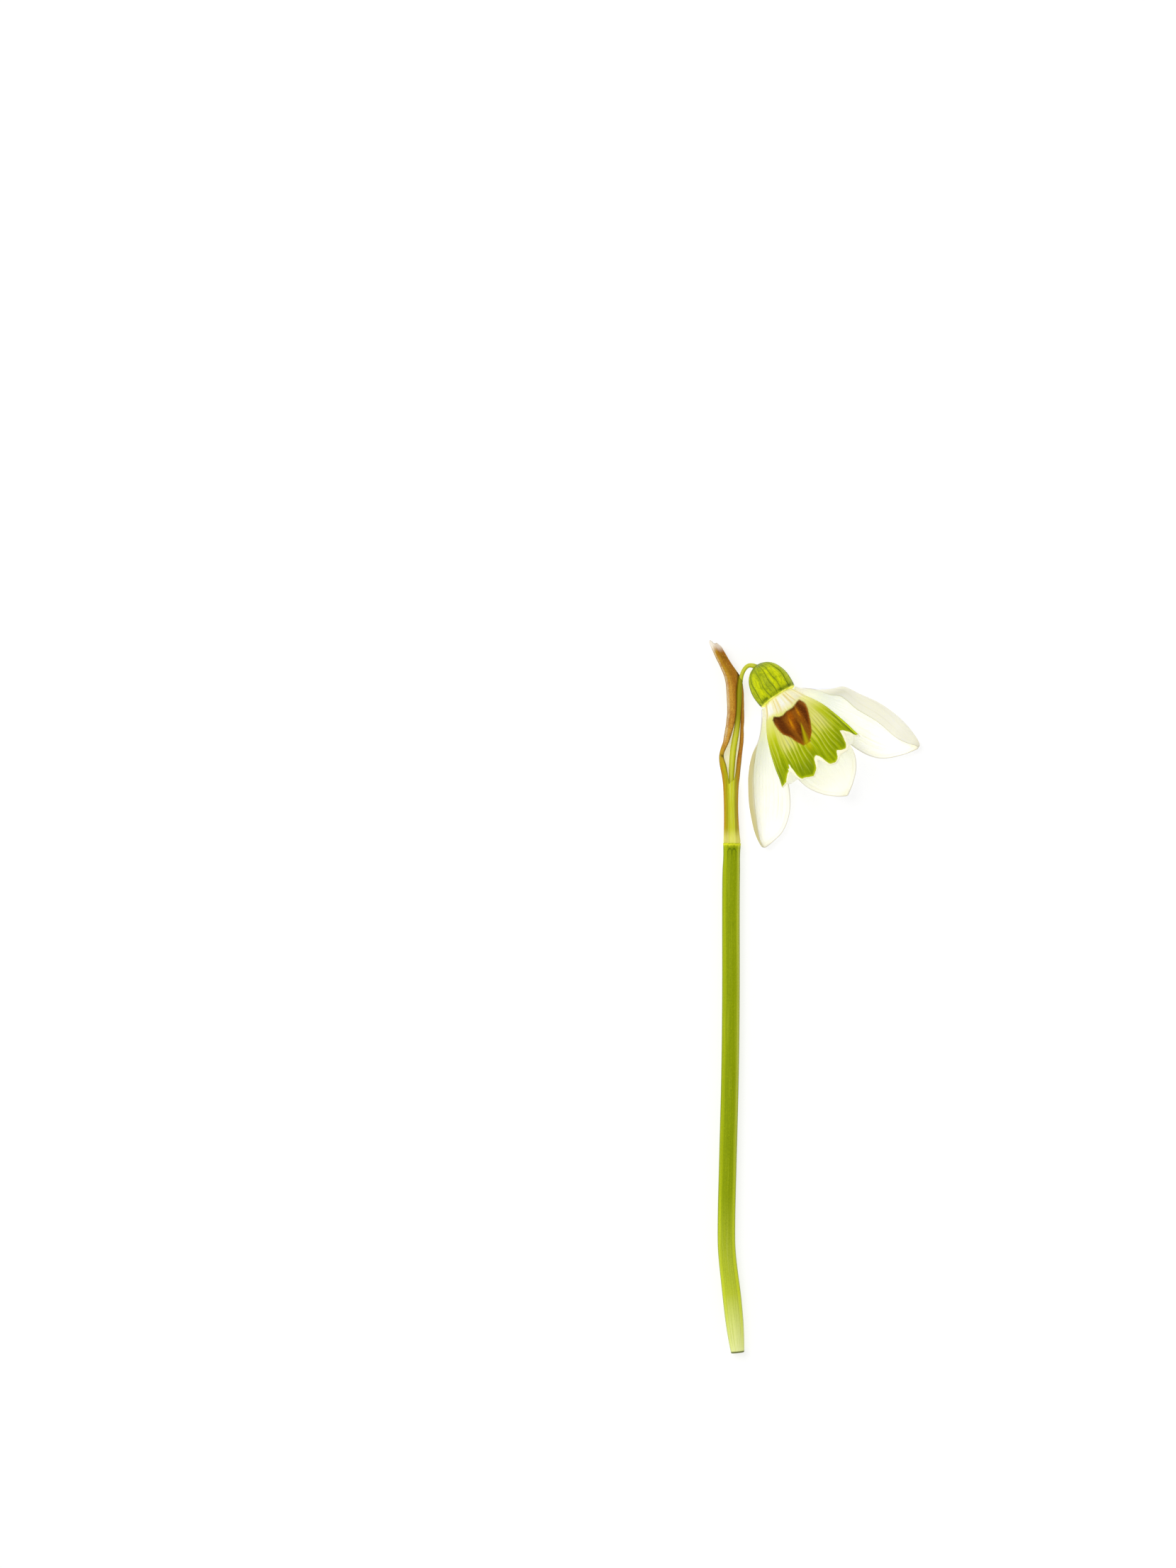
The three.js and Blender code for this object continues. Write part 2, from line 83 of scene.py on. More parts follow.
# Its centreline's x and y, and its half-width there
SHEATH_PLAN = [
    (-0.95, 86.3, 1.43), (-1.04, 88.5, 1.28), (-1.12, 92.2, 1.17), (-1.14, 95.8, 1.25),
    (-1.14, 97.6, 1.46), (-1.22, 100.7, 1.85), (-0.73, 103.5, 1.65), (-0.35, 108, 1.39),
    (-0.43, 111.6, 1.38), (-0.65, 113.5, 1.35), (-1.07, 114.8, 1.19), (-2.09, 116.7, 1.0),
    (-3.97, 120.3, 0.86),
]
# How much farther it reaches at its tip, by the way that a side faces
SHEATH_TIP = [
    (-1, 0.3), (-0.45, 0.05), (0.03, -0.31), (0.31, -0.26), (0.65, -0.66), (0.93, -1.27), (1, -1.9),
]
# The slit's two margins: their height, and their angle from the right towards the front
SLIT_RIGHT = [
    (94, 113), (96.2, 110), (96.6, 88), (97, 66), (99.2, 52), (103.6, 46), (107, 46), (110, 40),
    (112, 38), (113.6, 24), (114.8, -10), (117, -20), (120.3, -20),
]
SLIT_LEFT = [
    (95.2, 111), (96.8, 110), (98.2, 113), (99.6, 118), (101, 133), (102.5, 123), (105, 105),
    (107, 92), (109.6, 83), (112.1, 78), (113.6, 58), (114.8, 27), (117, 20), (120.3, 24),
]

# Pedicel: x, y, z and radius, from the scape's top to just inside the ovary
PEDICEL_PATH = [
    (-1.02, 86.4, 1.3, 0.3), (-1.17, 91, 1.3, 0.3), (-1.15, 95, 1.4, 0.42), (-0.8, 101.5, 1.6, 0.52),
    (-0.1, 106, 1.7, 0.48), (0.22, 110, 1.95, 0.43), (0.42, 113, 2.6, 0.36), (0.66, 114.6, 3.1, 0.33),
    (1.15, 115.68, 3.6, 0.34), (1.75, 116.22, 3.88, 0.35), (2.4, 116.26, 4.0, 0.38),
    (2.95, 116.05, 4.12, 0.45), (3.4, 115.8, 4.2, 0.6),
]

# Flower head
HEAD_CENTRE = np.array([6.78, 110.96, 5.0])
HEAD_PLAN_ANGLE = math.radians(-56.6)
HEAD_RISE = math.radians(8)
OVARY_PROFILE = [
    (0.02, -6.5), (0.45, -6.48), (1.05, -6.32), (1.98, -5.8), (2.8, -4.9), (3.31, -3.75), (3.57, -2.5),
    (3.55, -1.2), (3.42, -0.25), (3.2, 0.0), (2.0, 0.05),
]
OVARY_LENGTH = 6.5
STYLE_RADIUS = 0.28
STYLE_LENGTH = 8.6

# The ovary's veins: azimuth, width and depth, strong ones with finer ones between
OVARY_VEINS = [
    (-51, 1.5, 1.0), (-20, 1.1, 0.8), (3, 1.2, 0.9), (18.5, 1.1, 0.8), (48, 1.5, 1.0), (90, 1.5, 1.0),
    (135, 1.5, 1.0), (180, 1.5, 1.0), (-135, 1.5, 1.0), (-90, 1.5, 1.0), (-36, 0.8, 0.35),
    (-9, 0.8, 0.4), (33, 0.8, 0.35), (70, 1.1, 0.7), (-71, 1.1, 0.8), (112, 1.1, 0.5), (158, 1.1, 0.5),
    (-112, 1.1, 0.5), (-158, 1.1, 0.5),
]

# Bell of inner tepals: its section along the head, and each tepal's end at an azimuth
BELL_START = 0.05
INNER_THICKNESS = 0.32
# Painted light on the inner tepals' under faces, lifting the shade inside the bell
INNER_UNDER_PAINTED_GLOW = 0.6
BELL_HALF_WIDTH = [(0.3, 2.6), (2, 3.6), (5.3, 5.45), (9.5, 6.8), (13.2, 7.65), (16, 8.15)]
BELL_HALF_HEIGHT = [(0.3, 2.6), (2, 3.15), (6, 4.0), (13, 4.8), (16, 5.15)]
FRONT_LOBES = [
    (-47, 11.9), (-45, 12.3), (-41, 13.0), (-35, 14.5), (-27, 14.9), (-18, 15.4), (-11, 15.0),
    (-6.5, 14.2), (-3.2, 13.3), (0.3, 14.0), (4.3, 15.1), (11.5, 15.6), (18, 15.3), (24, 14.75),
    (33, 14.7), (40.5, 14.0), (46, 12.9), (51, 12.0), (53, 11.8),
]
RIGHT_LOBES = [
    (48, 11.8), (58.5, 12.2), (66, 13.1), (80, 13.2), (93, 13.3), (101, 12.7), (107, 11.8),
    (113, 12.6), (122, 13.1), (140, 13.2), (158, 13.1), (176, 12.4), (186, 12.3),
]
LEFT_LOBES = [
    (-178, 12.3), (-158, 13.0), (-138, 13.1), (-121, 13.1), (-112, 12.7), (-106, 11.8), (-100, 12.7),
    (-91, 13.4), (-75, 13.5), (-60, 13.4), (-52.5, 12.4), (-43, 12.2),
]

# The white frill round the bell's mouth: azimuth and width
FRILL = [
    (-180, 0.22), (-50, 0.25), (-41, 0.77), (-36, 0.3), (-10, 0.24), (-5.5, 0.6), (-2.5, 0.78),
    (1, 0.55), (5, 0.25), (15, 0.25), (19, 0.45), (22.5, 0.95), (26, 0.7), (30, 0.5), (37, 0.42),
    (42, 0.5), (48, 0.9), (54, 0.85), (60, 0.4), (68, 0.22), (186, 0.22),
]

# Pale veins of the inner tepals: azimuth, where along the head they are strongest, reach, strength
FRONT_VEINS = [
    (-43, 8.5, 3.0, 0.7), (-37, 8.5, 3.2, 0.9), (-31, 9.5, 3.4, 0.9), (-25, 9.5, 3.8, 1.0),
    (-19, 10.8, 3.0, 1.0), (-13, 11.0, 2.8, 0.9), (-7, 11.4, 2.0, 0.6), (2, 9.5, 2.0, 0.5),
    (9, 9.5, 3.4, 0.9), (15, 10.4, 3.2, 1.0), (21, 9.8, 3.6, 1.0), (27, 9.4, 3.6, 0.9),
    (33, 8.8, 3.6, 1.0), (39, 8.2, 3.6, 0.9), (46, 7.5, 3.2, 0.8),
]
RIGHT_VEINS = [(azimuth, 8.5, 3.2, 0.8) for azimuth in range(60, 178, 9)]
LEFT_VEINS = [(-azimuth, 8.5, 3.2, 0.8) for azimuth in range(58, 178, 9)]

# The anthers that show through the front tepal, painted on it as their shadow and colour: a place along
# the head, and how far aside they reach
HEART_LEFT = [
    (2.45, -2.5), (2.93, -2.9), (4.33, -3.07), (5.7, -2.87), (6.7, -2.2), (7.95, -1.74), (9.3, -1.0),
]
HEART_RIGHT = [
    (2.4, 2.6), (3.24, 3.0), (4.17, 2.95), (5.5, 2.48), (6.78, 1.92), (8.06, 1.28), (9.0, 0.3),
]
# Their upper end: how far aside, and the place along the head
HEART_TOP = [
    (-3.1, 2.75), (-2.5, 2.5), (-1.8, 2.95), (-1.2, 3.05), (-0.3, 2.84), (0.4, 2.87), (1.1, 2.8),
    (1.95, 2.5), (2.6, 2.4), (3.1, 2.9),
]
HEART_END = 9.2
HEART_OUTLINE = 0.5
HEART_SPAN = 1.6

# Stamens: how many, and from filament to tip the distance out, the place along and two half-widths
STAMEN_COUNT = 6
STAMEN_STATIONS = [
    (1.45, 0.1, 0.26, 0.26), (1.6, 1.2, 0.22, 0.22), (1.8, 2.0, 0.22, 0.22), (1.93, 2.3, 0.6, 0.45),
    (2.06, 3.0, 0.76, 0.6), (2.05, 4.2, 0.76, 0.58), (1.75, 5.8, 0.62, 0.48), (1.35, 7.2, 0.42, 0.34),
    (1.0, 8.4, 0.2, 0.2), (0.86, 9.2, 0.03, 0.03),
]

# Outer tepals
CLAW_RADIUS = 3.75
CLAW_START = 0.5
CLAW_AZIMUTH = math.radians(118)
UNTWIST_BY = 0.4
FOLD_FADING = 0.45
LEAST_RISE = 0.05
CLAW_REACH = -0.02
CAD_BLADE = 0.65
TEPAL_THICKNESS = 0.28
OUTER_VEINS = (-0.83, -0.66, -0.47, -0.31, -0.14, 0.0, 0.13, 0.29, 0.46, 0.62, 0.81)
# Each tepal's glow and under glow are painted light that lifts its shade, most on the back one under the
# bell, and its fold tint is the strength of painted shade on its folded-over band
# Its lists run along the midrib from claw to tip: height, two half-widths and what is folded over
RIGHT_TEPAL = {
    "tip": (30.55, 102.35), "bow": 0.55, "side": 1, "outer_slope": 22, "inner_slope": 36,
    "fold_turn": 145, "folded_from": (0.02, 0.24), "fold_radius": 0.5, "under_painted_glow": 0.42,
    "seed": 1, "fold_shade": 0.3, "painted_glow": 0.57,
    "height": [(0.15, 2.9), (0.3, 1.55), (0.45, 0.6), (0.58, 0.27), (0.75, 0.27), (0.88, 0.7), (1, 1.5)],
    "outer": [(0, 0.7), (0.1, 1.95), (0.18, 2.95), (0.27, 3.35), (0.4, 3.2), (0.55, 3.25), (0.7, 2.95),
              (0.84, 2.12), (0.93, 1.3), (0.98, 0.6), (1, 0.02)],
    "inner": [(0, 0.55), (0.12, 1.05), (0.25, 2.4), (0.4, 3.9), (0.55, 4.95), (0.7, 5.15), (0.82, 4.4),
              (0.93, 2.3), (1, 0.02)],
    "fold": [(0, 0), (0.12, 0.02), (0.2, 0.4), (0.33, 1.35), (0.46, 2.15), (0.63, 2.4), (0.76, 2.5),
             (0.86, 2.2), (0.93, 1.5), (0.97, 0.75), (1, 0.02)],
}
LEFT_TEPAL = {
    "tip": (4.5, 85.5), "bow": 0.4, "side": -1, "outer_slope": 38, "inner_slope": 40,
    "fold_turn": 135, "folded_from": (0.08, 0.36), "fold_radius": 0.35, "under_painted_glow": 0.3,
    "seed": 2, "fold_shade": 1.0, "painted_glow": 0.5,
    "height": [(0.15, 2.9), (0.3, 1.6), (0.45, 0.6), (0.58, 0.27), (0.75, 0.27), (0.88, 0.75), (1, 1.6)],
    "outer": [(0, 0.6), (0.06, 0.9), (0.12, 1.3), (0.2, 1.8), (0.31, 2.22), (0.4, 2.56), (0.5, 2.78),
              (0.67, 2.62), (0.82, 1.98), (0.93, 1.1), (0.98, 0.48), (1, 0.02)],
    "inner": [(0, 0.5), (0.12, 0.9), (0.25, 2.1), (0.4, 3.15), (0.55, 3.75), (0.67, 4.0), (0.78, 3.75),
              (0.89, 2.78), (0.96, 1.2), (1, 0.02)],
    "fold": [(0, 0), (0.15, 0), (0.28, 0.03), (0.38, 0.16), (0.46, 0.32), (0.6, 0.42), (0.75, 0.36),
             (0.92, 0.1), (1, 0.02)],
}
BACK_TEPAL = {
    "tip": (18.45, 94.35), "bow": -0.5, "side": 0, "outer_slope": 10, "inner_slope": 12,
    "fold_turn": 0, "folded_from": (0, 1), "fold_radius": 0.5, "under_painted_glow": 0.3,
    "seed": 3, "fold_shade": 0.0, "painted_glow": 0.75,
    "height": [(0.1, 0.75), (0.2, 0.27), (0.66, 0.27), (0.78, 0.75), (0.9, 2.2), (1, 4.0)],
    "outer": [(0, 0.75), (0.12, 1.5), (0.3, 3.4), (0.45, 4.7), (0.6, 5.75), (0.75, 5.6), (0.87, 4.3),
              (0.95, 2.2), (1, 0.05)],
    "inner": [(0, 0.75), (0.12, 1.5), (0.3, 3.2), (0.45, 4.3), (0.6, 4.7), (0.75, 4.2), (0.87, 2.9),
              (0.95, 1.4), (1, 0.05)],
    "fold": [(0, 0), (1, 0)],
}

# Mesh fineness: columns and rows of a blade, sides and steps of a round body
SCAPE_STEPS = [(0, 1, 12), (1, 82.4, 300), (82.4, SCAPE_TOP, 70)]
SPATHE_GRID = (110, 360)
OUTER_GRID = (110, 180)
FRONT_GRID = (200, 140)
SIDE_GRID = (150, 100)
SCAPE_SIDES = 84
PEDICEL_SIDES = 32
PEDICEL_STEPS = 260
OVARY_SIDES = 240
OVARY_STEPS = 140
STYLE_STEPS = 30
STAMEN_SIDES = 30
STAMEN_STEPS = 70
LEAST_RADIUS = 0.02
RELIEF_INSET = 0.4

# Light in the tissue: the usual mark of painted glow, an emission that lifts the tissue's shade as
# painted light, its strength, and how far light spreads in the tissue in mm by colour
PLAIN_PAINTED_GLOW = 1 / 3
PAINTED_GLOW_STRENGTH = 0.45
SPREAD = 0.4
SPREAD_BY_COLOUR = (1.0, 1.0, 0.6)

# Surface and studio light, in metres and watts
FLOOR_HALF = 2.0
FLOOR_DEPTH = 0.02 * MM
FLOOR_SHADE = 0.4
FLOOR_GLOW = 0.7
FLOOR_ROUGHNESS = 0.9
SKY_STRENGTH = 0.5
SOFTBOX_PLACE = (-0.55, 0.5, 1.1)
SOFTBOX_TARGET = (0, 0.045, 0)
SOFTBOX_SIZE = 0.9
SOFTBOX_POWER = 7.0
FARTHEST_SEEN = 20.0

# Steps for slopes, and the least length to divide by
SMALL_STEP = 1e-3
LEAST_LENGTH = 1e-6


# Curves and numbers

def through(knots, x):
    """Smooth curve through (x, y) knots: cubic pieces whose slopes average their neighbours'."""
    xs, ys = np.array(knots, float).T
    slopes = np.empty_like(ys)
    slopes[1:-1] = (ys[2:] - ys[:-2]) / (xs[2:] - xs[:-2])
    slopes[0] = (ys[1] - ys[0]) / (xs[1] - xs[0])
    slopes[-1] = (ys[-1] - ys[-2]) / (xs[-1] - xs[-2])
    x = np.clip(x, xs[0], xs[-1])
    i = np.clip(np.searchsorted(xs, x, side="right") - 1, 0, len(xs) - 2)
    width = xs[i + 1] - xs[i]
    t = (x - xs[i]) / width
    rise = ys[i + 1] - ys[i]
    a = slopes[i] * width - rise
    b = rise - slopes[i + 1] * width
    return ys[i] + t * rise + t * (1 - t) * ((1 - t) * a + t * b)


def arc_lengths(points):
    """How far along a line of points each of them lies."""
    return np.concatenate([[0], np.cumsum(np.linalg.norm(np.diff(points, axis=0), axis=1))])


def columns_at(knots, reach, places):
    """Each column of the knots as a smooth curve along their reach, read at those places."""
    return [through(np.stack([reach, column], axis=1), places) for column in knots.T]


def smooth(x, low=0.0, high=1.0):
    """0 below low, 1 above high, and an even S between; low above high turns it round."""
    t = np.clip((x - low) / (high - low), 0, 1)
    return t * t * (3 - 2 * t)


def bump(x, centre, width):
    """A soft peak of height 1."""
    return np.exp(-(((x - centre) / width) ** 2))


def peaks(x, *stations):
    """A sum of soft peaks, each given by its place, width and height."""
    return sum(height * bump(x, place, width) for place, width, height in stations)


def unit(vectors):
    return vectors / np.linalg.norm(vectors, axis=-1, keepdims=True)


def mottle(points, size, seed):
    """Smooth waves in several directions, from about -1 to 1, as an organic unevenness."""
    waves, fullness = 6, 1.6
    random = np.random.default_rng(seed)
    total = np.zeros(points.shape[:-1])
    for _ in range(waves):
        direction = unit(random.normal(size=3))
        length = size * random.uniform(0.6, 1.6)
        total += np.sin(points @ direction * (2 * math.pi / length) + random.uniform(0, 2 * math.pi))
    return total / waves * fullness


def ripple(x, seed):
    """An uneven wave of one number, from about -1 to 1."""
    random = np.random.default_rng(seed)
    return sum(np.sin(x * rate + random.uniform(0, 2 * math.pi)) for rate in (1.0, 1.7, 2.9, 4.3)) / 3


def once_round(sides):
    """Angles once round, as one row."""
    return np.linspace(0, 2 * math.pi, sides, endpoint=False)[None]


def wrap(degrees):
    """An angle brought to between -180 and 180."""
    return (degrees + 180) % 360 - 180


# The head's own frame: x to its right, y up from the surface, z along its axis to the mouth
HEAD_AXIS = np.array([
    math.cos(HEAD_PLAN_ANGLE) * math.cos(HEAD_RISE),
    math.sin(HEAD_PLAN_ANGLE) * math.cos(HEAD_RISE),
    math.sin(HEAD_RISE),
])
HEAD_RIGHT = np.array([-math.sin(HEAD_PLAN_ANGLE), math.cos(HEAD_PLAN_ANGLE), 0.0])
HEAD_UP = np.cross(HEAD_AXIS, HEAD_RIGHT)


def head_point(x, y, z):
    x, y, z = (np.asarray(c, float)[..., None] for c in (x, y, z))
    return HEAD_CENTRE + x * HEAD_RIGHT + y * HEAD_UP + z * HEAD_AXIS


def cut_end():
    """The middle of the stem's cut end in the frame, which plan positions are measured from."""
    ring_depth = 1.0 * MM
    corners = np.array([v.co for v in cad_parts["scape"].data.vertices])
    ring = corners[corners[:, 1] < corners[:, 1].min() + ring_depth]
    middle = (ring.min(axis=0) + ring.max(axis=0)) / 2
    return np.array([middle[0], middle[1], 0.0])


ORIGIN = cut_end()


def placed(name, data):
    """A new object of the scene."""
    item = bpy.data.objects.new(name, data)
    bpy.context.scene.collection.objects.link(item)
    return item


def fill(tree, node, inputs):
    """Gives a node's sockets their values, or links them where a value is another's output."""
    for socket, value in inputs.items():
        if isinstance(value, bpy.types.NodeSocket):
            tree.links.new(value, node.inputs[socket])
        else:
            node.inputs[socket].default_value = value


def make_camera():
    """Straight above the flower, as far as the photograph's scale asks for."""
    data = bpy.data.cameras.new("camera")
    data.lens = LENS_MM
    data.sensor_width = SENSOR_MM
    data.clip_end = FARTHEST_SEEN
    camera = placed("camera", data)
    x = (PHOTO_WIDTH_PX / 2 - CUT_END_PX[0]) * MM_PER_PX
    y = (CUT_END_PX[1] - PHOTO_HEIGHT_PX / 2) * MM_PER_PX
    distance = PHOTO_HEIGHT_PX * MM_PER_PX * LENS_MM / SENSOR_MM
    camera.location = Vector(ORIGIN) + Vector((x, y, FOCUS_HEIGHT + distance)) * MM
    bpy.context.scene.camera = camera


# Meshes

def mesh_object(name, points, faces, marks):
    """A smooth mesh object from points in mm, with each mark's numbers under its name."""
    # painted light: every piece glows a little unless its marks say otherwise
    marks = {"painted_glow": np.full(len(points), PLAIN_PAINTED_GLOW), **marks}
    mesh = bpy.data.meshes.new(name)
    mesh.from_pydata((points * MM + ORIGIN).tolist(), [], faces)
    for mark, values in marks.items():
        attribute = mesh.attributes.new(mark, "FLOAT", "POINT")
        attribute.data.foreach_set("value", np.clip(values, 0, 1).astype(np.float32))
    mesh.polygons.foreach_set("use_smooth", [True] * len(mesh.polygons))
    mesh.update()
    return placed(name, mesh)


def grid(columns, rows):
    """u across and v along, each from 0 to 1, as arrays of rows by columns."""
    return np.meshgrid(np.linspace(0, 1, columns + 1), np.linspace(0, 1, rows + 1))


def blade_normals(surface, u, v):
    across = surface(u + SMALL_STEP, v) - surface(u - SMALL_STEP, v)
    along = surface(u, v + SMALL_STEP) - surface(u, v - SMALL_STEP)
    return unit(np.cross(across, along))


def distance_to(middle, *borders):
    """How far each point of a blade lies from the nearest point of its borders."""
    border = np.concatenate(borders)
    return np.array([np.linalg.norm(row[:, None] - border, axis=2).min(axis=1) for row in middle])


def margin_distance(middle):
    """How far each point of a blade lies from its two sides and its far end."""
    return distance_to(middle, middle[:, 0], middle[:, -1], middle[-1])


def shell(name, middle, normal, edge, thickness, relief, marks, bias=0.0, under_painted_glow=None):
    """A closed blade round a middle surface, thinning to a rounded margin, with relief on its
    upper face. Upper and under face share the points of the margin."""
    rows, columns = middle.shape[:2]
    edge = np.minimum(edge, distance_to(middle, middle[0]))
    half = thickness / 2 * np.sqrt(np.clip(edge / thickness, 0, 1))[..., None]
    lift = (bias + relief * smooth(edge, 0, RELIEF_INSET))[..., None]
    upper = (middle + normal * (lift + half)).reshape(-1, 3)
    under = (middle + normal * (lift - half))[1:-1, 1:-1].reshape(-1, 3)
    points = np.concatenate([upper, under])
    points[:, 2] = np.maximum(points[:, 2], 0)
    at = np.arange(rows * columns).reshape(rows, columns)
    below = at.copy()
    below[1:-1, 1:-1] = len(upper) + np.arange(len(under)).reshape(rows - 2, columns - 2)
    top = [at[:-1, :-1], at[:-1, 1:], at[1:, 1:], at[1:, :-1]]
    bottom = [below[:-1, :-1], below[1:, :-1], below[1:, 1:], below[:-1, 1:]]
    faces = np.concatenate([np.stack(corners, axis=-1).reshape(-1, 4) for corners in (top, bottom)])
    both = {
        mark: np.concatenate([values.reshape(-1), values[1:-1, 1:-1].reshape(-1)])
        for mark, values in marks.items()
    }
    both["under_face"] = np.repeat([0.0, 1.0], [len(upper), len(under)])
    # painted light: the under face glows by its own number, lifting the shade under the blade
    if under_painted_glow is not None:
        both["painted_glow"] = np.where(both["under_face"], under_painted_glow, both["painted_glow"])
    return mesh_object(name, points, faces.tolist(), both)


def round_body(name, rings, marks):
    """A closed body from rings of points, with a point at each end."""
    count, sides = rings.shape[:2]
    ends = np.stack([rings[0].mean(axis=0), rings[-1].mean(axis=0)])
    points = np.concatenate([rings.reshape(-1, 3), ends])
    points[:, 2] = np.maximum(points[:, 2], 0)
    faces = []
    for i in range(count - 1):
        for j in range(sides):
            a, b = i * sides + j, i * sides + (j + 1) % sides
            faces.append((a, b, b + sides, a + sides))
    last = (count - 1) * sides
    for j in range(sides):
        faces.append(((j + 1) % sides, j, count * sides))
        faces.append((last + j, last + (j + 1) % sides, count * sides + 1))
    closed = {}
    for mark, values in marks.items():
        values = np.broadcast_to(values, (count, sides))
        closed[mark] = np.concatenate([values.reshape(-1), [values[0].mean(), values[-1].mean()]])
    return mesh_object(name, points, faces, closed)


def stem_rings(centres, half_width, half_height, angles):
    """Oval rings square to a line of centres, each counted round from its right side upwards."""
    along = unit(np.gradient(centres, axis=0))
    across = unit(np.stack([along[:, 1], -along[:, 0], np.zeros(len(along))], axis=1))
    up = np.cross(across, along)
    round_across = half_width[..., None] * np.cos(angles)[..., None] * across[:, None]
    round_up = half_height[..., None] * np.sin(angles)[..., None] * up[:, None]
    return centres[:, None] + round_across + round_up


# Materials

def srgb(red, green, blue):
    """A colour given in 0 to 255 as a painter's chart has it, turned into shares of linear light."""
    channels = []
    for value in (red, green, blue):
        share = value / 255
        channels.append(share / 12.92 if share <= 0.04045 else ((share + 0.055) / 1.055) ** 2.4)
    return (*channels, 1.0)


class Paint:
    """A material whose colour is laid over a ground in coats. Each coat is a colour, its strength,
    and the masks that it is laid through: names of marks, or textures made for this paint."""

    def __init__(self, name, ground, coats, relief, depth, roughness, subsurface=0.1, specular=0.08):
        self.material = bpy.data.materials.new(name)
        self.material.use_nodes = True
        self.tree = self.material.node_tree
        self.made = {}
        colour = srgb(*ground)
        for coat, strength, *masks in coats:
            factor = self.mask(masks[0])
            for other in masks[1:]:
                factor = self.times(factor, self.mask(other))
            if strength != 1.0:
                factor = self.times(factor, strength)
            colour = self.mix(colour, srgb(*coat), factor)
        bumps = {"Distance": depth * MM, "Strength": 1.0, "Height": self.mask(relief)}
        fill(self.tree, self.tree.nodes["Principled BSDF"], {
            "Base Color": colour,
            "Roughness": roughness,
            "Specular IOR Level": specular,
            # painted light: each piece glows in its own colour as far as its glow mark says, lifting its
            # shade
            "Emission Color": self.mix((0, 0, 0, 1), colour, self.mask("painted_glow")),
            "Emission Strength": PAINTED_GLOW_STRENGTH,
            "Subsurface Weight": subsurface,
            "Subsurface Radius": SPREAD_BY_COLOUR,
            "Subsurface Scale": SPREAD * MM,
            "Normal": self.node("ShaderNodeBump", "Normal", bumps),
        })

    def node(self, kind, output, inputs, **settings):
        """One output of a new node with those settings and inputs."""
        node = self.tree.nodes.new(kind)
        for name, value in settings.items():
            setattr(node, name, value)
        fill(self.tree, node, inputs)
        return node.outputs[output]

    def mask(self, source):
        """The output for a mark's name or a texture, made at its first use."""
        if source not in self.made:
            if callable(source):
                self.made[source] = source(self)
            else:
                self.made[source] = self.node("ShaderNodeAttribute", "Fac", {}, attribute_name=source)
        return self.made[source]

    def times(self, first, second):
        return self.node("ShaderNodeMath", "Value", {0: first, 1: second}, operation="MULTIPLY")

    def mix(self, first, second, factor):
        return self.node("ShaderNodeMix", 2, {0: factor, 6: first, 7: second}, data_type="RGBA")

    def ranged(self, value, low, high):
        """From 0 at low to 1 at high, in an even S."""
        inputs = {"Value": value, "From Min": low, "From Max": high}
        return self.node("ShaderNodeMapRange", "Result", inputs, interpolation_type="SMOOTHSTEP")

    def cells(self, across, along, shift):
        """A place on the piece, in so many cells across it and so many along it."""
        x = self.times(self.mask("across"), across)
        y = self.times(self.mask("along"), along)
        return self.node("ShaderNodeCombineXYZ", "Vector", {"X": x, "Y": y, "Z": shift})


def noise(size, low=0.3, high=0.7, stretch=(1, 1, 1)):
    """Soft spots of about that size in mm, longer by the stretch along x, y and z."""
    scale = [1 / (size * MM * s) for s in stretch]

    def texture(paint):
        place = paint.node("ShaderNodeTexCoord", "Object", {})
        place = paint.node("ShaderNodeMapping", "Vector", {"Vector": place, "Scale": scale})
        spots = {"Vector": place, "Scale": 1.0, "Detail": 3.0}
        return paint.ranged(paint.node("ShaderNodeTexNoise", "Fac", spots), low, high)

    return texture


def streaks(across, along, low=0.35, high=0.65, shift=0.0):
    """Irregular streaks: so many across the piece and so many along it."""

    def texture(paint):
        lines = {"Vector": paint.cells(across, along, shift), "Scale": 1.0, "Detail": 2.0}
        return paint.ranged(paint.node("ShaderNodeTexNoise", "Fac", lines), low, high)

    return texture


def net(across, along, width):
    """Fine lines between irregular cells."""

    def texture(paint):
        cells = {"Vector": paint.cells(across, along, 0.0), "Scale": 1.0}
        lines = paint.node("ShaderNodeTexVoronoi", "Distance", cells, feature="DISTANCE_TO_EDGE")
        return paint.ranged(lines, width, width * 0.2)

    return texture


def roughened(mark, texture, weight, low, high):
    """A mark whose edge a texture makes ragged, from 0 at low to 1 at high."""

    def edge(paint):
        inputs = {0: paint.mask(texture), 1: weight, 2: paint.mask(mark)}
        value = paint.node("ShaderNodeMath", "Value", inputs, operation="MULTIPLY_ADD")
        return paint.ranged(value, low, high)

    return edge


def dress(piece, paint, slot, *nodes):
    """Gives a piece its paint, and lets it stand for those nodes of the frame. slot is not used."""
    piece.data.materials.append(paint.material)
    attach(piece, "root")
    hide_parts(*nodes)


# Scape

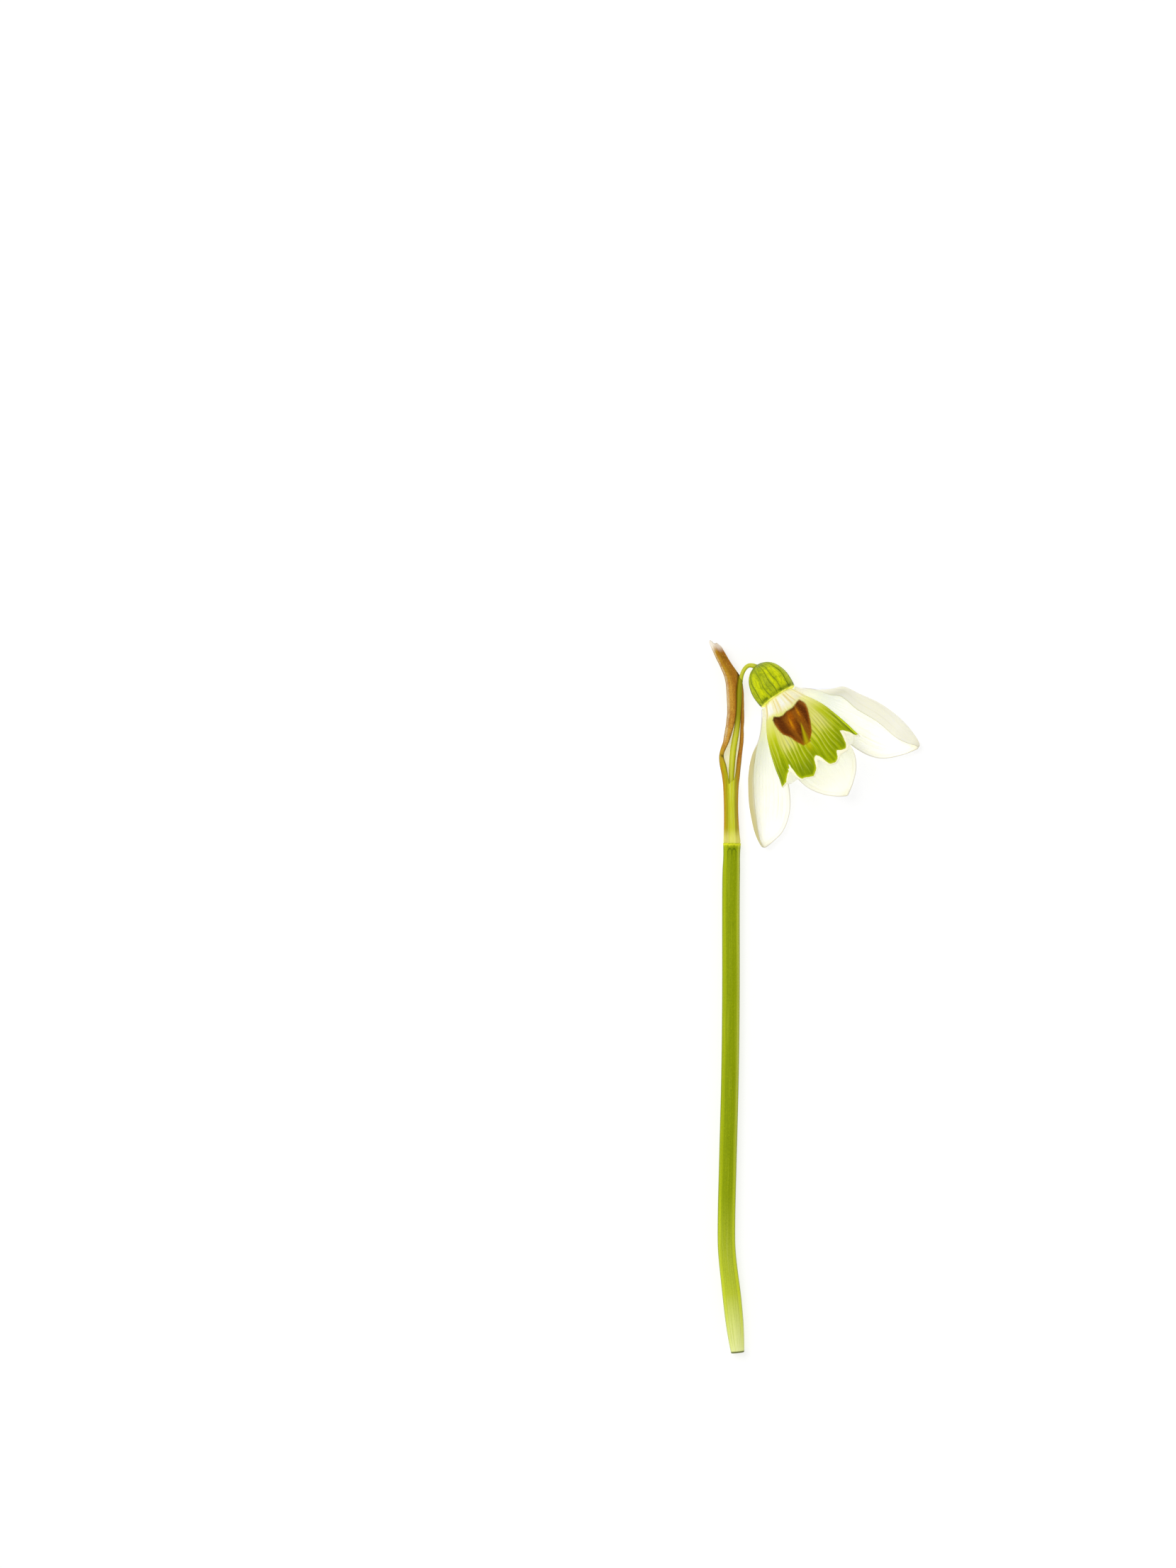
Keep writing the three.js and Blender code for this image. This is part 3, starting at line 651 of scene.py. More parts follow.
SCAPE_PAINT = Paint("scape", (161, 176, 4), [
    ((143, 161, 0), 0.9, "channel"),
    ((180, 194, 4), 0.85, "stripe"),
    ((217, 228, 72), 1.0, "foot"),
    ((242, 247, 172), 1.0, "pale_end"),
    ((160, 180, 0), 0.6, "foot", streaks(42, 8, 0.5, 0.72, 12.0)),
    ((240, 245, 130), 0.6, "foot", streaks(36, 7, 0.5, 0.7, 16.0)),
    ((220, 232, 30), 0.85, "side_band"),
    ((120, 138, 0), 0.35, "fresh", streaks(46, 9)),
    ((150, 164, 30), 0.35, "band_line"),
    ((214, 222, 60), 0.3, streaks(60, 7, 0.55, 0.75, 3.0)),
    ((104, 124, 0), 0.3, "channel", noise(0.18, 0.5, 0.68)),
    ((178, 192, 10), 0.3, "channel", noise(0.2, 0.54, 0.7, (1, 2, 1))),
    ((210, 216, 96), 0.6, "right_edge"),
    # painted shade: darker along the stem's two sides, as its round form turns from the light
    ((106, 112, 18), 0.7, "flank_shade"),
    ((72, 94, 0), 0.85, "hood"),
    ((232, 234, 44), 0.9, "ring"),
    ((70, 78, 22), 0.9, "cut_rim"),
    ((232, 236, 170), 0.9, "cut_face"),
    ((120, 138, 0), 0.22, "fresh", noise(0.25, 0.45, 0.75)),
], noise(0.2, 0.2, 0.8, (1, 12, 1)), depth=0.02, roughness=0.5, subsurface=0.08)


def hood_lines(facing, y):
    """Two small arches side by side under the sheath's foot, with a stroke between them."""
    aside = np.abs(facing)
    from_crown = np.abs(aside - 0.25) / 0.25
    arches = bump(y, 85.3 - 0.5 * from_crown ** 2.5, 0.13) * smooth(aside, 0.52, 0.48)
    stroke = bump(facing, 0, 0.05) * smooth(y, 83.9, 84.6) * smooth(y, 85.1, 84.9)
    legs = 0.6 * bump(aside, 0.5, 0.035) * smooth(y, 82.5, 84.4) * smooth(y, 85.1, 84.8)
    return arches + stroke + legs


def make_scape():
    y = np.unique(np.concatenate([np.linspace(*part) for part in SCAPE_STEPS]))
    x = through([(py, px) for px, py in SCAPE_PLAN], y)
    centres = np.stack([x, y, np.full_like(y, SCAPE_CENTRE_Z)], axis=1)
    angle = once_round(SCAPE_SIDES)
    narrow = 1 - SCAPE_CUT_NARROWING * np.clip(1 - y / SCAPE_CUT_TAPER, 0, 1) ** 2
    swelling = 1 + peaks(y, (84.0, 1.6, -0.05), (86.1, 0.35, 0.02), (9, 4.5, 0.05))
    ribs = 1 + 0.012 * np.cos(18 * angle) + 0.008 * np.cos(31 * angle + 1)
    size = (narrow * swelling)[:, None] * ribs
    rings = stem_rings(centres, SCAPE_HALF_WIDTH * size, SCAPE_HALF_HEIGHT * size, angle)
    shares, depths = np.array(CUT_FACE).T[..., None]
    middle = rings[0].mean(axis=0)
    cap = middle + (rings[0] - middle) * shares[..., None]
    cap[..., 1] += depths
    rings = np.concatenate([cap, rings])
    y = np.concatenate([0 * depths, y[:, None]])
    share = np.concatenate([shares, np.ones((len(y) - len(shares), 1))])
    facing = np.cos(angle)
    aside = np.abs(facing)
    top = np.sin(angle) > 0
    on_side = share >= 1
    foot = np.clip(1 - y / SCAPE_FOOT, 0, 1)
    # The numbers below are places on facing, which is 1 at the right side and -1 at the left, and on y
    marks = {
        "across": np.abs(angle / math.pi - 1),
        "along": y / SCAPE_TOP,
        "channel": smooth(aside, 0.62, 0.5) * top * (1 - foot),
        "stripe": bump(aside, 0.72, 0.12) * (0.4 + 0.6 * smooth(y, 40, 84)),
        "foot": foot,
        "pale_end": np.clip(1 - y / SCAPE_PALE_END, 0, 1),
        "fresh": 1 - 0.8 * foot,
        "side_band": bump(aside, 0.8, 0.13) * top * smooth(y, 50, 12) * smooth(y, -4, 9)
        * (0.75 + 0.25 * facing),
        "band_line": bump(aside, 0.6, 0.05) * top * smooth(y, 0.5, 3),
        "right_edge": bump(facing, 0.83, 0.09) * smooth(y, 20, 50),
        # painted shade along the stem's two sides
        "flank_shade": smooth(aside, 0.95, 1.0) * on_side,
        "hood": hood_lines(facing, y) * top,
        "ring": bump(y + 0.05 * np.cos(7 * angle) + 0.05 * np.cos(16 * angle + 1), 86.03, 0.24) * on_side,
        "cut_rim": smooth(y, 0.34, 0.12) * smooth(share, 0.8, 0.95),
        "cut_face": smooth(share, 0.9, 0.8),
    }
    dress(round_body("scape_stem", rings, marks), SCAPE_PAINT, "scape", "scape")


# Sheath

SPATHE_PAINT = Paint("spathe", (194, 182, 20), [
    ((192, 182, 62), 0.8, "right_side"),
    ((218, 222, 44), 0.95, "window"),
    ((234, 236, 130), 0.7, "window", streaks(50, 5, 0.5, 0.7)),
    ((170, 158, 24), 0.55, "olive"),
    ((202, 142, 26), 0.7, "gold_edge"),
    ((208, 150, 44), 1.0, "brown"),
    ((222, 172, 66), 0.85, "gold"),
    ((204, 160, 30), 0.7, "ochre"),
    ((242, 222, 168), 0.9, "pale_edge"),
    ((162, 100, 22), 0.8, "dark_side", streaks(34, 6, 0.25, 0.6, 2.0)),
    ((128, 88, 10), 0.8, "patch", noise(0.5, 0.3, 0.6)),
    ((172, 104, 16), 0.4, "brown", streaks(60, 7, 0.48, 0.68, 5.0)),
    ((164, 102, 18), 0.4, "brown", noise(0.22, 0.45, 0.7)),
    ((224, 178, 88), 0.4, "brown", streaks(70, 5, 0.55, 0.75, 9.0)),
    ((176, 96, 34), 0.45, "brown", noise(0.7, 0.45, 0.7, (1, 2.5, 1))),
    ((150, 90, 22), 0.4, "brown", noise(0.17, 0.5, 0.66)),
    ((232, 178, 80), 0.35, "brown", noise(0.2, 0.55, 0.7, (1, 1.5, 1))),
    ((160, 124, 36), 0.6, "keel"),
    ((243, 242, 222), 1.0, "membrane"),
    ((96, 62, 16), 0.6, "free_edge"),
    # painted shade of a crease
    ((84, 74, 8), 0.85, "crease_shade"),
    ((246, 238, 222), 0.95, "tip"),
    ((255, 248, 118), 0.5, "foot"),
    ((240, 232, 176), 0.7, "foot", streaks(60, 3, 0.45, 0.65, 7.0)),
    ((96, 74, 60), 0.7, "outline"),
], streaks(110, 6), depth=0.03, roughness=0.7)


def sheath_angle(u, y):
    """The angle round the sheath, from its right margin at u = 0 round the back to its left margin."""
    right = through(SLIT_RIGHT, y)
    left = through(SLIT_LEFT, y)
    return right + u * (left - right - 360)


def make_spathe():
    top = SHEATH_PLAN[-1][1]
    half_widths = [(y, half) for _, y, half in SHEATH_PLAN]
    plan = [(y, x) for x, y, _ in SHEATH_PLAN]
    nearby = 0.05

    def surface(u, v):
        y = SHEATH_FOOT + (top - SHEATH_FOOT) * v
        angle = np.radians(sheath_angle(u, y))
        y = y + through(SHEATH_TIP, np.cos(angle)) * smooth(v, 0.85, 1)
        slope = (through(plan, y + nearby) - through(plan, y - nearby)) / (2 * nearby)
        square = 1 / np.sqrt(1 + slope ** 2)
        half = through(half_widths, y)
        half_width = half - SHEATH_WALL / 2
        half_height = np.minimum(SHEATH_HALF_HEIGHT, half * SHEATH_HEIGHT_TO_WIDTH) - SHEATH_WALL / 2
        # Below the slit the margins lap over each other
        lap = 0.1 * smooth(y, 97, 95) * (u - 0.5) * smooth(np.abs(u - 0.5), 0.4, 0.5)
        out = (half_width + lap) * np.cos(angle)
        x = through(plan, y) + out * square
        z = SHEATH_CENTRE_Z + (half_height + lap) * np.sin(angle)
        return np.stack([x, y - out * slope * square, z], axis=-1)

    u, v = grid(*SPATHE_GRID)
    y = SHEATH_FOOT + (top - SHEATH_FOOT) * v
    angle = sheath_angle(u, y)
    middle = surface(u, v)
    edge = margin_distance(middle)
    radial = np.radians(angle)
    facing = np.cos(radial)
    aside = np.abs(facing)
    keel = bump(facing, 1, 0.05) + bump(facing, -1, 0.05)
    relief = 0.05 * keel * smooth(y, 88, 97) + 0.02 * np.cos(radial * 22)
    relief = (relief + 0.03 * mottle(middle, 2.5, 3) * smooth(y, 98, 104)) * smooth(y, top, top - 3)
    front = smooth(np.sin(radial), -0.3, 0)
    blade = front * smooth(y, 99, 103.5) * smooth(facing, 0.72, 0.6)
    rolled = smooth(y, 113, 116)
    right = front * smooth(facing, 0.55, 0.7) * (1 - rolled)
    inside = smooth(np.sin(radial), 0.1, -0.3) * smooth(y, 95, 97) * smooth(y, 109.5, 106)
    tip = smooth(v + 0.006 * np.cos(radial * 5), 0.95, 0.992) * (0.75 + 0.25 * (facing < -0.2))
    foot = smooth(y, SHEATH_FOOT + 2.8, SHEATH_FOOT + 0.6)
    # Painted shade: a dark crease line runs in from the left margin where the slit is widest
    crease_shade = bump(y, 100.7 + 0.25 * (angle % 360 - 125) / 30, 0.2) * smooth(edge, 0.9, 0.2)
    marks = {
        "across": np.abs((angle % 360) / 180 - 1),
        "along": v,
        "right_side": front * smooth(facing, 0.3, 0.5) * (1 - smooth(y, 94.5, 99.5)),
        "window": front * smooth(facing, -0.5, -0.38) * smooth(facing, 0.56, 0.44) * smooth(y, 99, 97.5),
        "olive": front * bump(aside, 0.6, 0.11) * smooth(y, 99, 96),
        "gold_edge": front * smooth(aside, 0.7, 0.9) * smooth(y, 86.8, 90) * smooth(y, 101.5, 98),
        "ochre": blade * smooth(y, 113.5, 117) * smooth(facing, 0.5, -0.3) + rolled * front * 0.6,
        "patch": front * bump(facing, 0.25, 0.38) * bump(y, 117.2, 1.3),
        "brown": np.clip(blade + right * smooth(y, 95, 101) + front * rolled, 0, 1),
        "gold": blade * bump(facing, -0.5, 0.28) * smooth(y, 118, 112),
        "pale_edge": blade * bump(facing, -0.88, 0.12) * smooth(y, 102, 105),
        "dark_side": blade * smooth(facing, -0.45, 0.1) * smooth(y, 103, 110)
        + rolled * smooth(facing, -0.5, 0.2) + right * 0.5 * smooth(y, 99, 104),
        "keel": np.clip(keel, 0, 1) * smooth(y, 94, 97) * smooth(y, 101.5, 99.5),
        "membrane": inside,
        # painted light: the membrane inside the slit, the pale tip and the foot glow to lift their shade
        "painted_glow": PLAIN_PAINTED_GLOW + 0.66 * inside + 0.4 * tip + 0.15 * foot,
        "free_edge": smooth(edge, 0.22, 0.08) * smooth(y, 96, 99) * smooth(y, top - 1.5, top - 3) * front,
        "crease_shade": crease_shade * (facing < 0) * front,
        "tip": tip,
        "foot": foot,
        "outline": smooth(aside, 0.965, 0.999) * smooth(y, 88, 100) * (0.6 + 0.4 * (facing > 0))
        + 0.45 * smooth(edge, 0.12, 0.05) * smooth(y, 117, 119),
    }
    piece = shell("spathe_sheath", middle, blade_normals(surface, u, v), edge, SHEATH_WALL, relief, marks)
    dress(piece, SPATHE_PAINT, "spathe", "spathe")


# Pedicel

PEDICEL_PAINT = Paint("pedicel", (210, 213, 42), [
    # painted light and shade: a highlight on the upper left, shade on both sides, shade inside the sheath
    # and a shadow line where the stalk goes into the sheath's top
    ((222, 220, 96), 0.8, "light"),
    ((150, 164, 8), 0.45, "shade"),
    ((138, 130, 2), 0.85, "inside"),
    ((150, 160, 10), 0.35, streaks(12, 8)),
    ((92, 86, 10), 0.7, "entry"),
    ((112, 128, 6), 0.4, "joint"),
], streaks(20, 8), depth=0.015, roughness=0.5)


def make_pedicel():
    knots = np.array(PEDICEL_PATH)
    reach = arc_lengths(knots[:, :3])
    s = np.linspace(0, reach[-1], PEDICEL_STEPS)
    x, y, z, radius = columns_at(knots, reach, s)
    angle = once_round(PEDICEL_SIDES)
    size = radius[:, None] * (1 + 0.02 * np.cos(6 * angle))
    rings = stem_rings(np.stack([x, y, z], axis=1), size, size, angle)
    s, y = s[:, None], y[:, None]
    entry = rings[..., 1] + 1.3 * (rings[..., 0] - 0.2)
    # painted light and shade: light is a highlight on the upper left, shade is on both sides, inside is
    # the shade within the sheath, entry a shadow line at the sheath's top
    marks = {
        "across": np.abs(angle / math.pi - 1),
        "along": s / reach[-1],
        "shade": smooth(np.abs(np.cos(angle)), 0.75, 1.0),
        "inside": smooth(y, 103.5, 108.5) * smooth(entry, 114.5, 114.0),
        "entry": bump(entry, 114.3, 0.14),
        "light": bump(np.cos(angle), -0.2, 0.35),
        "joint": smooth(s, reach[-1] - 1.2, reach[-1] - 0.3),
    }
    dress(round_body("pedicel_stalk", rings, marks), PEDICEL_PAINT, "pedicel", "pedicel")


# Ovary and style

PISTIL_PAINT = Paint("ovary", (184, 196, 0), [
    ((150, 166, 0), 0.75, streaks(16, 5, 0.35, 0.65)),
    ((222, 230, 0), 0.85, "panel"),
    ((228, 232, 10), 0.5, "body", noise(0.6, 0.55, 0.75)),
    ((112, 136, 0), 0.4, "body", net(15, 3.6, 0.05)),
    ((120, 140, 0), 0.4, "body", noise(0.4, 0.5, 0.75)),
    ((70, 94, 0), 0.95, "vein"),
    ((86, 106, 0), 0.8, "stalk_end", streaks(26, 3, 0.3, 0.6, 5.0)),
    ((84, 104, 0), 0.8, "rim_shade", streaks(10, 4, 0.4, 0.6, 8.0)),
    ((226, 230, 50), 0.6, "rim"),
    ((248, 246, 130), 0.85, "rim", streaks(9, 2, 0.4, 0.6, 21.0)),
    # painted shade: darker along the ovary's two sides and at its stalk end
    ((70, 96, 0), 0.85, "flank_shade"),
    ((214, 222, 150), 1.0, "style"),
], noise(0.25, 0.3, 0.7), depth=0.02, roughness=0.42, specular=0.14)


def make_pistil():
    knots = np.array([
        *OVARY_PROFILE, (STYLE_RADIUS, 0.05), (STYLE_RADIUS * 1.05, STYLE_LENGTH * 0.5),
        (STYLE_RADIUS * 0.8, STYLE_LENGTH - 0.5), (LEAST_RADIUS, STYLE_LENGTH),
    ])
    reach = arc_lengths(knots)
    base = reach[len(OVARY_PROFILE) - 1]
    ovary, style = np.linspace(0, base, OVARY_STEPS), np.linspace(base, reach[-1], STYLE_STEPS)
    steps = np.unique(np.concatenate([ovary, style]))
    radius, along = columns_at(knots, reach, steps)
    r, s = np.maximum(radius, LEAST_RADIUS)[:, None], along[:, None]
    azimuth = np.linspace(0, 360, OVARY_SIDES, endpoint=False)[None]
    radial = np.radians(azimuth)
    body = smooth(s, -6.4, -5.2) * smooth(s, 0.05, -0.3) * (r > 1)
    disc = r > 1.5
    turned = azimuth + 1.6 * np.sin(s * 1.7 + azimuth * 0.07)
    vein = sum(bump(wrap(turned - centre), 0, width) * deep for centre, width, deep in OVARY_VEINS)
    panel = sum(bump(wrap(azimuth - centre), 0, width) for centre, width in ((33, 10), (-36, 9), (10, 4)))
    r_ribbed = r - body * 0.1 * vein + body * 0.05 * np.cos(radial * 6)
    rings = head_point(r_ribbed * np.sin(radial), r_ribbed * np.cos(radial), s)
    marks = {
        "across": np.abs((azimuth + 90) % 360 / 180 - 1),
        "along": s / OVARY_LENGTH + 1,
        "body": body,
        "vein": vein * body,
        "panel": panel * smooth(s, -5.6, -4.2) * smooth(s, -0.4, -1.4),
        "stalk_end": smooth(s, -5.0, -6.2),
        "rim": bump(s, 0.0, 0.1) * disc,
        # painted light: the disc under the rim glows, lifting the shade in the gap between ovary and bell
        "painted_glow": PLAIN_PAINTED_GLOW + 0.6 * disc * smooth(s, -0.12, 0.02),
        "rim_shade": bump(s, -0.4, 0.28),
        # painted shade along the ovary's two sides and at its stalk end
        "flank_shade": smooth(np.abs(np.sin(radial)), 0.955, 1.0) * body
        + 0.5 * smooth(s, -6.0, -6.4) * smooth(s, -6.5, -6.45),
        "style": s > 0.06,
    }
    dress(round_body("ovary_and_style", rings, marks), PISTIL_PAINT, "pistil", "pistil")


# Inner tepals

HEART = roughened("heart", streaks(90, 50, 0.0, 1.0, 2.0), 0.14, 0.46, 0.71)
MARGIN = roughened("margin", streaks(120, 60, 0.3, 0.7, 8.0), 0.3, 0.5, 0.85)
INNER_PAINT = Paint("inner_tepal", (206, 212, 36), [
    ((222, 218, 108), 0.95, "pale"),
    ((234, 230, 156), 0.8, "pale", streaks(50, 2.5, 0.45, 0.65)),
    ((166, 182, 0), 1.0, "deep"),
    ((112, 134, 0), 0.9, "lobe_dark"),
    ((186, 200, 8), 0.6, "deep", streaks(70, 5, 0.52, 0.72, 4.0)),
    ((124, 146, 0), 0.3, "deep", noise(0.2, 0.48, 0.68)),
    ((222, 222, 112), 0.85, "vein"),
    ((122, 140, 0), 0.5, "furrow"),
    ((198, 206, 40), 0.8, "bright_line"),
    ((190, 208, 0), 0.9, "vivid"),
    ((70, 92, 0), 0.7, "dark_line"),
    ((244, 240, 162), 0.95, "yellow_base"),
    ((224, 216, 110), 0.5, "yellow_base", streaks(80, 4, 0.5, 0.7, 6.0)),
    ((250, 243, 198), 1.0, "cream"),
    # painted highlight on the puckers' tops at the bell's base, with painted shade between them
    ((255, 253, 240), 0.95, "pillow_highlight"),
    ((232, 210, 134), 0.8, "cream_shade"),
    ((206, 190, 140), 0.5, "cream", streaks(110, 3, 0.6, 0.75, 11.0)),
    ((249, 245, 214), 1.0, MARGIN),
    ((200, 192, 10), 0.8, "heart_tail"),
    # painted show-through: the anthers' shadow and colour laid on the front tepal, with painted
    # highlights on them
    ((140, 78, 6), 0.97, HEART),
    ((88, 38, 2), 0.9, HEART, "heart_dark"),
    ((54, 24, 2), 0.75, HEART, "heart_top"),
    ((176, 92, 0), 0.85, HEART, "heart_warm"),
    ((222, 148, 0), 0.95, HEART, "heart_light"),
    ((110, 52, 4), 0.6, HEART, streaks(120, 16, 0.52, 0.7, 3.0)),
    ((84, 34, 0), 0.4, HEART, noise(0.16, 0.48, 0.66)),
    ((190, 110, 20), 0.35, HEART, noise(0.18, 0.56, 0.72)),
    ((182, 168, 2), 0.95, HEART, "heart_gap"),
    ((252, 252, 242), 0.95, "under_face"),
    ((176, 198, 92), 0.55, "under_face", "inside_stripe"),
], streaks(120, 6), depth=0.02, roughness=0.6, subsurface=0.05, specular=0.05)


def bell_section(azimuth, along, swell):
    """A point of the bell in the head's frame, swell mm outside its middle surface."""
    x = (through(BELL_HALF_WIDTH, along) + swell) * np.sin(np.radians(azimuth))
    y = (through(BELL_HALF_HEIGHT, along) + swell) * np.cos(np.radians(azimuth))
    return head_point(x, y, along)


def heart_marks(x, y, along):
    """The anthers that show through the front tepal, as seen square to the head's plan, painted on it as
    their shadow and colour: their outline as depth inside it, then their dark parts, their light parts as
    painted highlights, and the gap between two tips."""
    s = along * math.cos(HEAD_RISE) - y * math.sin(HEAD_RISE)
    left, right = through(HEART_LEFT, s), through(HEART_RIGHT, s)
    depth = np.minimum.reduce([x - left, right - x, s - through(HEART_TOP, x), HEART_END - s])
    light = bump(x, -0.65 - 0.13 * (s - 4.4), 0.17) * bump(s, 5.0, 0.85)
    light = light + 0.75 * bump(x, 1.2 - 0.1 * (s - 4.1), 0.14) * bump(s, 4.1, 0.7)
    warm = bump(x, -0.1, 0.5) * bump(s, 3.8, 0.9) + 0.8 * bump(x, -0.75, 0.6) * bump(s, 5.2, 1.2)
    warm = warm + 0.6 * bump(x, 1.2, 0.4) * bump(s, 4.4, 1.2)
    warm = warm + 0.6 * smooth(depth, 0.5, 0.1) * smooth(s, 3.0, 3.6)
    gap = bump(x, 0.57 - 0.29 * (s - 6), 0.08 + 0.13 * np.clip(s - 6, 0, 4))
    dark = smooth(np.cos(x * 2.6 + 0.5), -0.2, 0.7) * smooth(s, 2.6, 5)
    dark = dark + peaks(x, (1.9, 0.5, 1), (-1.9, 0.6, 1))
    return {
        "heart": HEART_OUTLINE + depth / HEART_SPAN,
        "heart_dark": dark * (1 - 0.8 * np.clip(light + warm, 0, 1)),
        "heart_warm": warm,
        "heart_top": smooth(depth, 0.7, 0.2) * smooth(s, 4.3, 3.3) * (x < 1.2),
        "heart_light": light,
        "heart_gap": gap * smooth(s, 5.4, 6.4),
        "heart_tail": bump(x, -0.35, 0.4) * bump(s, 9.6, 0.9),
    }


def make_inner_tepal(side, lobes, veins, size):
    """One of the three, from its lobes' ends and its veins, with marks that azimuth and along place."""
    front = side == "front"
    first, last = lobes[0][0], lobes[-1][0]

    def place(u, v):
        azimuth = first + (last - first) * u
        along = BELL_START + (through(lobes, azimuth) + 0.07 * ripple(azimuth * 0.2, 3) - BELL_START) * v
        return azimuth, along

    def surface(u, v):
        azimuth, along = place(u, v)
        under_front = 0.3 * smooth(np.abs(azimuth), 62, 50)
        tucked = 0.12 if front else -under_front - 0.35 * smooth(azimuth, 171, 178)
        return bell_section(azimuth, along, tucked + 0.18 * smooth(along, 11.5, 15))

    u, v = grid(*size)
    azimuth, along = place(u, v)
    middle = surface(u, v)
    normal = blade_normals(surface, u, v)
    if (normal * (middle - HEAD_CENTRE - along[..., None] * HEAD_AXIS)).sum() < 0:
        middle, normal = middle[:, ::-1], -normal[:, ::-1]
        azimuth, along, u, v = azimuth[:, ::-1], along[:, ::-1], u[:, ::-1], v[:, ::-1]
    edge = margin_distance(middle)
    length = through(lobes, azimuth)
    x = (middle - HEAD_CENTRE) @ HEAD_RIGHT
    y = (middle - HEAD_CENTRE) @ HEAD_UP

    wander = azimuth + 0.9 * np.sin(along * 0.9 + azimuth * 0.15)
    vein = sum(
        bump(wander, centre, 0.5 + 0.6 * smooth(along, 12, 6)) * bump(along, strongest, reach) * strength
        for centre, strongest, reach, strength in veins
    )
    furrow = sum(bump(wander, centre + 3.6, 1.1) for centre, *_ in veins) * smooth(along, 5, 9)
    inward = smooth(edge, 0.35, 0.8)
    ragged = ripple(azimuth * 0.62, 5)
    off_centre = smooth(np.abs(azimuth), 38, 47)
    base = smooth(along + 0.3 * ragged - 0.9 * bump(x, 0, 2.6), 2.6, 1.7)
    folds = 0.5 + 0.5 * np.cos(np.radians(azimuth) * 8 + 1.6 * ripple(azimuth * 0.12, 8))
    vivid = smooth(azimuth, 69, 73) * smooth(azimuth, 104, 92) * smooth(along, 6.8, 9)
    vivid = vivid * smooth(edge, 0.2, 0.5)

    free = smooth(along, 10.6, 11.6)
    frill = through(FRILL, azimuth)
    beside = smooth(np.minimum(u, 1 - u), 0.06, 0.02)
    from_end = edge + beside * np.maximum(length - along - edge, 0)
    margin = smooth(from_end, frill + 0.2, frill - 0.12) * free

    pale_azimuths = np.clip(peaks(azimuth, (-33, 15, 1), (33, 13, 1)) + 0.25, 0, 1)
    lobe_azimuths = 0.5 + 0.35 * ripple(azimuth * 0.35, 12) + peaks(
        azimuth, (-46, 6, 0.3), (-14, 5, 0.45), (-25, 5, 0.5), (15, 5, -0.3), (38, 4, 0.3))
    marks = {
        "across": u,
        "along": v,
        "pale": bump(along, 7.2 + 0.9 * ragged, 2.4) * pale_azimuths * (1 - off_centre),
        "deep": smooth(along + 1.3 * ragged + 0.5 * mottle(middle, 2.5, 7), 8.4, 11.0)
        + off_centre * smooth(along, 4, 8.5) * 0.75,
        "lobe_dark": smooth(length - along, 4.2, 1.6) * smooth(edge, 0.3, 0.8) * lobe_azimuths,
        "vein": vein * inward * (0.75 + 0.25 * ragged) * smooth(length - along, 0.6, 2.6),
        "furrow": furrow * inward * (1 - vein),
        "bright_line": 0.7 * bump(from_end, frill + 0.14, 0.12) * free
        + bump(azimuth, -89, 6) * smooth(along, 3, 7)
        + 0.8 * bump(azimuth, 49, 3) * smooth(along, 3, 6) * smooth(along, 11, 8),
        "dark_line": bump(azimuth, 68, 2.2) * smooth(along, 6, 8.5)
        + 0.9 * bump(azimuth, 88, 6) * smooth(along, 7, 9)
        + 0.6 * bump(azimuth, -71, 2) * smooth(along, 8, 12),
        "vivid": vivid,
        "yellow_base": smooth(along, 6.4, 2.4) * (0.6 + 0.35 * smooth(azimuth, 0, 35)),
        "inside_stripe": smooth(np.cos(np.radians(azimuth) * 26 + 0.4 * ragged), -0.1, 0.8)
        * smooth(along, 2.5, 6) * smooth(length - along, 1.6, 3.2),
        "cream": base,
        # painted highlight on the puckers' tops; the next mark is the painted shade between them
        "pillow_highlight": base * smooth(folds, 0.45, 0.85) * smooth(along, 0.2, 0.8) * smooth(along, 2.7, 1.9)
        * (1 - 0.8 * smooth(azimuth, 8, 38)),
        "cream_shade": base * smooth(folds, 0.3, 0.0) * smooth(along, 0.1, 0.6),
        "margin": margin,
        # painted light: the frill's margin and the vivid strip glow, lifting the shade of the rounded
        # edge and of the bell's turned-away side
        "painted_glow": PLAIN_PAINTED_GLOW + 0.2 * margin + 0.35 * vivid,
    }
    if front:
        marks.update(heart_marks(x, y, along))
    pillows = base * smooth(along, 0.1, 0.8) * smooth(along, 2.5, 1.6) * (folds - 0.4)
    relief = 0.22 * pillows + 0.04 * vein - 0.03 * furrow * inward + 0.03 * mottle(middle, 4, 5)
    name = f"inner_tepal_{side}"
    piece = shell(
        f"{name}_fine", middle, normal, edge, INNER_THICKNESS, relief, marks, 0.0, INNER_UNDER_PAINTED_GLOW
    )
    dress(piece, INNER_PAINT, "inner_tepal", name)


# Outer tepals

OUTER_PAINT = Paint("outer_tepal", (254, 254, 249), [
    ((252, 251, 236), 0.6, noise(4.0, 0.35, 0.7)),
    ((248, 246, 232), 0.6, "side_shade"),
    # painted shade: the folded-over band darkened to beige, for its double layer and its own shadow
    ((214, 205, 150), 1.0, "fold"),
    ((244, 243, 228), 0.4, "claw"),
    ((222, 220, 198), 0.4, "vein"),
    ((226, 222, 196), 0.45, "inner_part", streaks(50, 2.2, 0.55, 0.75)),
    ((255, 255, 250), 0.5, "inner_part", streaks(40, 1.6, 0.5, 0.7, 5.0)),
    # painted light: a cool tint near the claw that offsets the yellow light the bell throws on it
    ((236, 238, 255), 0.8, "bounce_light_cooling"),
    ((228, 222, 194), 0.8, "tip"),
    ((226, 222, 200), 0.35, "rim_line"),
    ((200, 194, 178), 0.65, "outline"),
], streaks(60, 5), depth=0.015, roughness=0.6, subsurface=0.2)


